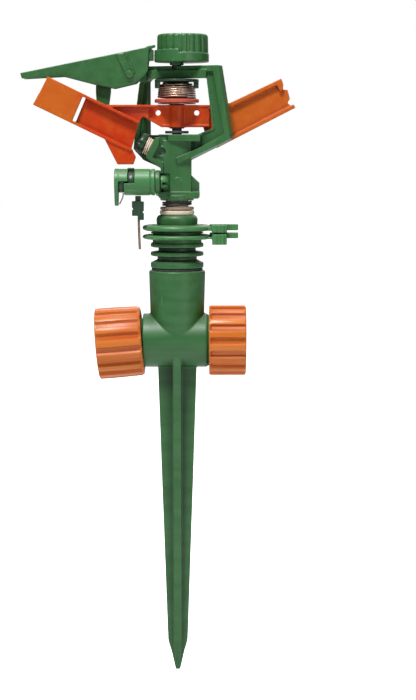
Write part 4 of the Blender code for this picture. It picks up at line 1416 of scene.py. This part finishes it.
@dataclass
class ImpactArm(Assembly):
    """The orange arm: hub bar, drive paddle with slot and fin, and the notched wing."""

    bar_top: float = 128.8
    bar_bottom: float = 118.05
    depth: float = 6.4
    front: float = -9.4
    neck_yaw: float = math.radians(10.3)

    def build(self) -> None:
        """Builds the arm and the spring seat on it."""
        top, low, depth = self.bar_top, self.bar_bottom, self.depth
        bar = [(-18.0, top), (16.0, top), (16.0, low), (-7.5, low), (-16.8, 123.4)]
        arm = plate("striking_arm", [bar], depth - 1.0)
        ribs = [
            plate(
                "bar_top", [[(-18.0, top), (16.0, top), (16.0, top - 1.1), (-18.0, top - 1.1)]],
                depth,
            ),
            plate(
                "bar_low", [[(-7.5, low), (16.0, low), (16.0, low + 1.1), (-7.9, low + 1.1)]],
                depth,
            ),
            plate("bar_slope", [strip([(-16.8, 123.4), (-7.3, low)], 1.2)], depth),
            rod("hub", (0, 0, low - 0.2), (0, 0, top + 0.1), 4.5),
        ]
        join(arm, *ribs, *self._paddle(), *self._wing())
        holes = [
            rod("cross_hole", (x, -8, 125.0), (x, 8, 125.0), 1.3, sides=32) for x in (-9.1, 9.7)
        ]
        cut(arm, rod("hub_bore", (0, 0, 110), (0, 0, 135), 3.7), *holes)
        moulded(arm, voxel=0.24, rounds=6)
        self.publish(arm, Body.ARM, Slot.ORANGE, "impact_arm")
        arm.data.materials[0] = self.finishes.arm_orange
        self._seat()

    def _paddle(self) -> list[Piece]:
        """The drive paddle: rims, recessed web, panel past the slot, spoon wall and fin."""
        rim_y = (self.front - 4.3) / 2
        top_edge = [(-17.8, 120.8), (-62.1, 142.3)]
        low_edge = [(-69.3, 128.8), (-35.1, 112.4), (-22.0, 106.1)]
        web = [(-43.6, 133.0), (-18.2, 120.6), (-22.2, 106.8), (-35.1, 112.8), (-49.4, 119.5)]
        panel = [(-62.2, 141.9), (-44.9, 133.5), (-50.8, 120.2), (-68.9, 129.0)]
        neck = [
            (-33.8, self.bar_top - 0.1), (-14.0, self.bar_top - 0.1), (-14.0, 121.9),
            (-16.8, 123.3),
            (-19.2, 119.8),
        ]
        spoon = [(-69.0, 129.3), (-66.3, 134.3), (-64.6, 133.4), (-67.2, 128.5)]
        fin = [(-35.2, 112.9), (-28.7, 100.1), (-21.0, 100.1), (-19.8, 103.7), (-21.7, 107.5)]
        return [
            plate("neck", [neck], 2.4, y=-0.4, yaw=self.neck_yaw),
            plate(
                "neck_top", [strip([(-12.0, self.bar_top), (-34.6, self.bar_top)], 1.3)], 6.4,
                yaw=self.neck_yaw,
            ),
            plate(
                "neck_end", [neck[:1] + [(-31.0, self.bar_top - 0.1), (-19.2, 119.8)]], 5.6,
                y=-4.2,
            ),
            plate("top_rim", [strip(top_edge, 1.3)], 5.1, y=rim_y),
            plate("low_rim", [strip(low_edge, 1.3)], 5.1, y=rim_y),
            plate("paddle_web", [web], 1.2, y=-5.6),
            plate("panel", [panel], 1.9, y=self.front + 1.0),
            plate("spoon", [spoon], 13.0, y=-2.6),
            plate("fin", [fin], 3.8, y=-6.7),
        ]

    def _wing(self) -> list[Piece]:
        """The balance wing with rims and three rounded lobes at its end."""
        upper = [(50.7, 141.5), (25.7, 129.7), (15.0, self.bar_top - 0.15)]
        lower = [(13.0, 117.5), (14.2, 113.6), (19.5, 107.9), (57.7, 127.4)]
        notches = [
            (55.6, 128.6), (53.9, 129.7), (55.1, 131.8), (53.9, 136.2), (51.6, 136.2),
            (51.9, 138.6),
        ]
        end = [(48.6, 138.5), (50.5, 141.2), (51.8, 138.6), (51.5, 136.4), (50.2, 135.2)]
        return [
            plate("wing_web", [lower + notches + upper], 2.4),
            plate("wing_top", [strip(upper, 2.0)], self.depth - 0.2),
            plate("wing_low", [strip(lower[1:], 2.0)], self.depth - 0.2),
            plate("wing_end", [end], self.depth - 0.4),
        ]

    def _seat(self) -> None:
        """The red spring seat, the bright washer under it and the bushing."""
        seat = [
            (4.9, 134.2), (5.2, 133.9), (5.2, 132.2), (5.6, 131.8), (10.4, 131.7), (10.8, 131.4),
            (10.85, 131.0),
            (10.85, 130.3), (10.6, 129.9), (3.9, 129.9), (3.9, 134.2),
        ]
        middle = Datum.place()
        self.turned("red_seat", seat, middle, 96, Body.ARM, Slot.RED, "spring_seat")
        ring = [(9.2, 129.6), (9.3, 129.5), (9.3, 129.3), (9.2, 129.2), (5.3, 129.2), (5.3, 129.6)]
        self.turned("bright_washer", ring, middle, 96, Body.ARM, Slot.STEEL, "seat_washer")
        sleeve = [
            (3.4, 131.6), (3.6, 131.4), (3.6, 117.6), (3.4, 117.4), (2.75, 117.4), (2.75, 131.6),
        ]
        self.turned("hub_sleeve", sleeve, middle, 64, Body.ARM, Slot.RUBBER, "arm_bushing")


@dataclass
class ArmSpring(Assembly):
    """The close-wound torsion spring with its narrow upper turns."""

    wire: float = 0.5

    def build(self) -> None:
        """Winds the spring."""
        route = helix(9.0, 132.2, 137.9, 5.2, 8.5)
        route += helix(8.5, 137.9, 139.4, 1.4, 6.3, start=0.2)[1:]
        piece = tube("arm_coil", route, self.wire)
        self.publish(piece, Body.HEAD, Slot.STEEL, "arm_spring")


@dataclass
class DistanceKnob(Assembly):
    """The eccentric fluted grip on its cam flange."""

    grip: float = 12.35
    grip_offset: float = 2.9
    cam: float = 13.3
    cam_offset: float = 2.4
    flutes: int = 20

    def build(self) -> None:
        """Builds the grip, the cam and its raised step, and the neck."""
        wave = ribbed(self.flutes, 0.5, math.radians(4.0))
        g = self.grip
        profile: list[tuple[float, ...]] = [
            (0, 162.6, 0), (9.6, 162.6, 0), (9.9, 162.8, 0), (11.0, 162.8, 0.0), (11.7, 162.6, 0.3),
            (12.15, 162.1, 0.4), (g, 161.3, 0.55), (g + 0.1, 155.2, 0.55), (g + 0.1, 152.0, 0.55),
            (0, 152.0, 0),
        ]
        piece = swept("distance_knob", profile, Datum.place(self.grip_offset), 200, wave=wave)
        c = self.cam
        rim = [
            (0, 153.7), (c - 0.4, 153.7), (c, 153.3), (c, 149.8), (c - 0.3, 149.4),
            (c - 0.7, 149.3), (0, 149.3),
        ]
        flange = swept("cam", rim, Datum.place(self.cam_offset), 128)
        raised = arc((self.cam_offset, 0), c - 0.05, 150, 265, 28) + [(self.cam_offset, 0)]
        step = plate("cam_step", [raised], 2.4)
        step.matrix_world = Datum.place(0, 0, 153.9)
        neck = rod("neck", (0, 0, 147.95), (0, 0, 151), 3.4)
        join(piece, flange, step, neck)
        cut(piece, rod("bore", (0, 0, 140), (0, 0, 158.4), 2.75))
        moulded(piece, voxel=0.24, rounds=2)
        self.publish(piece, Body.KNOB, Slot.GREEN, "adjusting_knob")


@dataclass
class JetDeflector(Assembly):
    """The long inverted channel with its tongue, follower and finger."""

    near: float = -1.1
    far: float = 11.15
    wall: float = 1.4

    def build(self) -> None:
        """Builds the deflector and the pin it tilts on."""
        side = [
            (-13.4, 156.8), (-76.1, 144.2), (-75.3, 141.5), (-55.3, 142.6), (-40.1, 138.7),
            (-30.5, 136.7),
            (-20.0, 139.2), (-15.3, 143.2), (-14.0, 145.2),
        ]
        near, far = self.near, self.far
        middle = (near + far) / 2
        px, ph = FLAP_PIVOT
        piece = plate("jet_flap", [side], self.wall, y=near)
        tongue = [
            (-39.4, 150.6), (-32.0, 152.2), (-32.2, 135.0), (-33.8, 124.0), (-38.8, 123.4),
            (-39.6, 135.0),
        ]
        join(
            piece,
            plate("far_wall", [side], self.wall, y=far),
            plate(
                "roof", [strip([(-13.6, 156.6), (-75.9, 144.1)], 1.5)], far - near + 0.6, y=middle,
            ),
            block("follower", (-15.0, near + 0.2, 150.4), (-11.4, far - 0.2, 155.4)),
            plate(
                "finger", [[(-14.6, 155.2), (-10.3, 156.4), (-10.3, 157.8), (-14.6, 157.0)]], 1.2,
                y=near,
            ),
            plate("tongue", [tongue], 2.6, y=3.2),
            plate(
                "end_lip", [[(-76.0, 144.2), (-75.2, 141.6), (-73.8, 141.7), (-74.4, 144.4)]],
                far - near, y=middle,
            ),
            rod("pin_boss", (px, -2.2, ph), (px, -1.0, ph), 2.8),
        )
        left_ridge = strip([(px - 6.2, ph + 9.4), (px - 1.9, ph - 0.6)], 0.9)
        right_ridge = strip([(px - 2.2, ph + 10.4), (px + 2.0, ph + 0.4)], 0.9)
        pad = [
            (px - 5.2, ph + 9.6), (px - 1.8, ph + 10.3), (px + 2.2, ph + 0.4),
            (px - 1.8, ph - 0.8),
        ]
        join(
            piece,
            plate("left_ridge", [left_ridge], 1.6, y=near - 0.8),
            plate("right_ridge", [right_ridge], 1.6, y=near - 0.8),
            plate("pad", [pad], 1.0, y=near - 0.6),
        )
        cut(piece, rod("pin_hole", (px, -6, ph), (px, 16, ph), 1.5))
        moulded(piece, voxel=0.3, rounds=3)
        self.publish(piece, Body.DEFLECTOR, Slot.GREEN, "deflector")
        profile = [
            (0, 3.3), (1.4, 3.25), (1.8, 3.1), (1.9, 2.8), (1.9, 2.35), (1.15, 2.3),
            (1.15, -12.6), (0.9, -12.8),
            (0, -12.8),
        ]
        turn = Matrix.Rotation(math.pi / 2, 4, "X")
        pin = swept("flap_pin", profile, Datum.place(px, 0, ph) @ turn, 48)
        self.publish(pin, Body.HEAD, Slot.GREEN, "deflector_pin")


@dataclass
class TripGear(Assembly):
    """The part-circle trip: drum, reversing lever, wire and its holder."""

    y: float = TRIP_Y
    height: float = TRIP_HEIGHT
    drum: float = 6.4

    def build(self) -> None:
        """Builds each trip piece."""
        self._drum()
        self._painted_shade_cores()
        self._lever()
        self._holder()
        wire = [
            (-18.5, self.y, 79.6), (-18.45, self.y, 72.0), (-18.3, self.y, 66.0),
            (-18.0, self.y, 59.0),
        ]
        self.publish(tube("trip_rod", wire, 0.6), Body.TRIP, Slot.BRONZE, "trip_wire")
        hair = [(-27.8, 80.9), (-27.1, 82.2), (-26.5, 83.4), (-26.1, 84.6), (-25.9, 86.4)]
        spring = tube("snap_spring", [(x, self.y, h) for x, h in hair], 0.3)
        self.publish(spring, Body.TRIP, Slot.STEEL, "over_centre_spring")

    def _drum(self) -> None:
        """The drum with its lower jaw, end rings and split snap head."""
        y, h, r = self.y, self.height, self.drum
        jaw = rod("jaw", (-25.4, y, h), (-20.0, y, h), r - 0.05)
        cut(jaw, block("upper_half", (-26, y - 8, h - 0.5), (-20.3, y + 8, h + 8)))
        piece = rod("trip_barrel", (-20.3, y, h), (-10.5, y, h), r)
        join(
            piece, jaw,
            rod("stub", (-30.0, y, h), (-20.0, y, h), 1.9),
            rod("pin", (-12, y, h), (-6.9, y, h), 2.0),
            swept(
                "snap",
                [(0, 3.9), (1.3, 3.75), (2.3, 3.2), (2.95, 2.2), (3.15, 1.0), (3.1, 0), (0, 0)],
                Datum.place(-7.8, y, h) @ Matrix.Rotation(math.pi / 2, 4, "Y"), 48,
            ),
        )
        groove = swept(
            "groove", [(7.4, 0.35), (7.4, -0.35), (r - 0.4, -0.35), (r - 0.4, 0.35)],
            Datum.place(-12.6, y, h) @ Matrix.Rotation(math.pi / 2, 4, "Y"), 64, closed=True,
        )
        cut(piece, block("snap_slot", (-7.0, y - 4, h - 1.3), (-3.0, y + 4, h - 0.1)), groove)
        moulded(piece, voxel=0.2, rounds=3)
        self.publish(piece, Body.TRIP, Slot.BRIGHT_GREEN, "trip_drum")

    def _painted_shade_cores(self) -> None:
        """Dark rings that paint the shade seen through the two windows of the barrel."""
        turn = Matrix.Rotation(math.pi / 2, 4, "Y")
        # Painted shade: dark rings stand in the windows, where there is only shade.
        for name, body, low, high, bore in (
            ("barrel_painted_shade", Body.TRIP, -23.4, -20.2, 1.85),
            ("lever_painted_shade", Body.LEVER, -28.3, -25.6, 2.25),
        ):
            profile = [
                (4.9, high), (5.1, high - 0.3), (5.1, low + 0.3), (4.9, low), (bore, low),
                (bore, high),
            ]
            place = Datum.place(0, self.y, self.height) @ turn
            self.turned(name, profile, place, 64, body, Slot.DARK_GREEN)

    def _lever(self) -> None:
        """The reversing lever with its upper jaw and hanging finger."""
        y, h = self.y, self.height
        round_top = arc((y, h), 6.5, 200, -20, 22)
        tip = arc((y, h - 9.3), 2.2, -10, -170, 8)
        finger = facing_x(plate("reversing_finger", [[*round_top, *tip]], 1.9), -29.15)
        jaw = rod("upper_jaw", (-29.0, y, h), (-23.6, y, h), self.drum)
        cut(jaw, block("lower_half", (-28.2, y - 8, h - 8), (-23, y + 8, h + 0.5)))
        shield = strip(arc((y, h), 6.3, 84, 12, 12), 0.7)
        join(finger, jaw, facing_x(plate("shield", [shield], 3.4), -22.2))
        cut(finger, rod("bore", (-35, y, h), (-20, y, h), 2.25))
        moulded(finger, voxel=0.2, rounds=3)
        self.publish(finger, Body.LEVER, Slot.BRIGHT_GREEN, "reversing_lever")

    def _holder(self) -> None:
        """The clip that grips the wire."""
        y = self.y
        piece = block("wire_clip", (-20.1, y - 1.5, 81.0), (-17.4, y + 1.5, 84.9))
        join(
            piece,
            block("left_jaw", (-21.7, y - 2.1, 75.3), (-18.2, y + 2.1, 82.4)),
            block("right_jaw", (-18.9, y - 2.0, 73.3), (-16.0, y + 2.0, 82.2)),
        )
        cut(
            piece,
            rod("wire_hole", (-18.5, y, 70), (-18.5, y, 80), 0.95),
            block("seam", (-18.7, y - 3, 76.0), (-18.3, y - 1.7, 82.0)),
            block("left_notch", (-22.4, y - 3, 78.2), (-21.2, y + 3, 79.2)),
            block("right_notch", (-16.5, y - 3, 76.6), (-15.4, y + 3, 77.6)),
        )
        moulded(piece, voxel=0.16, rounds=3)
        self.publish(piece, Body.TRIP, Slot.DARK_GREEN, "trip_wire_holder")


@dataclass
class HiddenParts(Assembly):
    """The carried-over pieces that mostly sit inside others and only need their finish."""

    nodes: dict[str, Piece]

    def build(self) -> None:
        """Dresses each carried-over node."""
        for node, slot in (
            ("base_seal", Slot.RUBBER),
            ("spindle_seal", Slot.RUBBER),
            ("inlet_washer", Slot.RUBBER),
            ("end_cap_seal", Slot.RUBBER),
            ("bearing_tube", Slot.CREAM),
        ):
            piece = self.nodes[node]
            piece.data.materials.clear()
            piece.data.materials.append(self.finishes.of(slot))
            LOG.info("%s dressed", node)


# ---------------------------------------------------------------- studio


@dataclass
class Studio:
    """The pale floor, the soft lights and the camera."""

    distance: float = 850.0
    pitch: float = math.radians(7.0)
    aim_x: float = 15.2
    aim_height: float = 8.45
    lens: float = 88.1
    floor_size: float = 6.0
    floor_drop: float = 0.0005
    lit_point: Point3 = (0.0, 0.0, 0.2)

    def build(self) -> None:
        """Sets the stage."""
        self._floor()
        self._lights()
        self._camera()

    def _floor(self) -> None:
        """The seamless paper, level with the spike's tip."""
        bm = bmesh.new()
        bmesh.ops.create_grid(bm, x_segments=1, y_segments=1, size=self.floor_size)
        floor = from_bmesh("floor", bm, Matrix.Translation((0, 0, -self.floor_drop)))
        floor.data.materials.append(StudioPaper().build())
        floor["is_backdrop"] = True

    def _lights(self) -> None:
        """A bright even surround with a soft key, a fill and a top light."""
        world = bpy.data.worlds.new("studio")
        bpy.context.scene.world = world
        world.use_nodes = True
        surround = world.node_tree.nodes["Background"]
        surround.inputs["Color"].default_value = (1.0, 1.0, 1.0, 1.0)
        seen = world.node_tree.nodes.new("ShaderNodeLightPath")
        level = map_range(world.node_tree, seen.outputs["Is Camera Ray"], (0.0, 1.0), (0.14, 1.0))
        world.node_tree.links.new(level, surround.inputs["Strength"])
        for name, place, size, power in (
            ("key", (-0.25, -0.6, 1.38), 0.3, 28.0),
            ("fill", (0.7, -1.1, 0.45), 0.6, 3.8),
            ("top", (0.05, 0.2, 1.35), 0.5, 9.0),
            ("back", (0.3, 1.2, 0.8), 1.2, 4.5),
        ):
            lamp = bpy.data.lights.new(name, "AREA")
            lamp.shape = "DISK"
            lamp.size = size
            lamp.energy = power
            made = bpy.data.objects.new(name, lamp)
            bpy.context.scene.collection.objects.link(made)
            made.location = place
            aim = Vector(self.lit_point) - Vector(place)
            made.rotation_euler = aim.to_track_quat("-Z", "Y").to_euler()

    def _camera(self) -> None:
        """The camera, looking slightly down from the front."""
        lens = bpy.data.cameras.new("camera")
        lens.lens = self.lens
        lens.sensor_width = 36.0
        lens.clip_end = 20.0
        made = bpy.data.objects.new("camera", lens)
        bpy.context.scene.collection.objects.link(made)
        back = self.distance * math.cos(self.pitch)
        rise = self.distance * math.sin(self.pitch)
        made.location = Datum.point(self.aim_x, -back, self.aim_height + rise)
        made.rotation_euler = (math.pi / 2 - self.pitch, 0.0, 0.0)
        bpy.context.scene.camera = made


def corners(box: tuple[Vector, Vector]) -> list[list[float]]:
    """A box's two corners as plain lists."""
    return [[float(v) for v in corner] for corner in box]


def main() -> None:
    """Loads the frame, builds every sub-assembly and the studio, and works out the sizes."""
    logging.basicConfig(level=logging.INFO, format="%(name)s: %(message)s")
    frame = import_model()
    cad_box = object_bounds()
    Datum.read()
    finishes = Finishes()
    assemblies: list[Assembly] = [
        GroundStand(finishes),
        HoseCoupling(finishes),
        EndPlug(finishes),
        BearingSleeve(finishes),
        TripCollars(finishes),
        SwivelHead(finishes),
        Nozzle(finishes),
        ImpactArm(finishes),
        ArmSpring(finishes),
        DistanceKnob(finishes),
        JetDeflector(finishes),
        TripGear(finishes),
        HiddenParts(finishes, frame["nodes"]),
    ]
    for assembly in assemblies:
        assembly.build()
    Studio().build()
    bpy.context.scene.view_settings.view_transform = "Standard"
    {"cad": corners(cad_box), "visual": corners(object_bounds())}


if __name__ == "__main__":
    main()
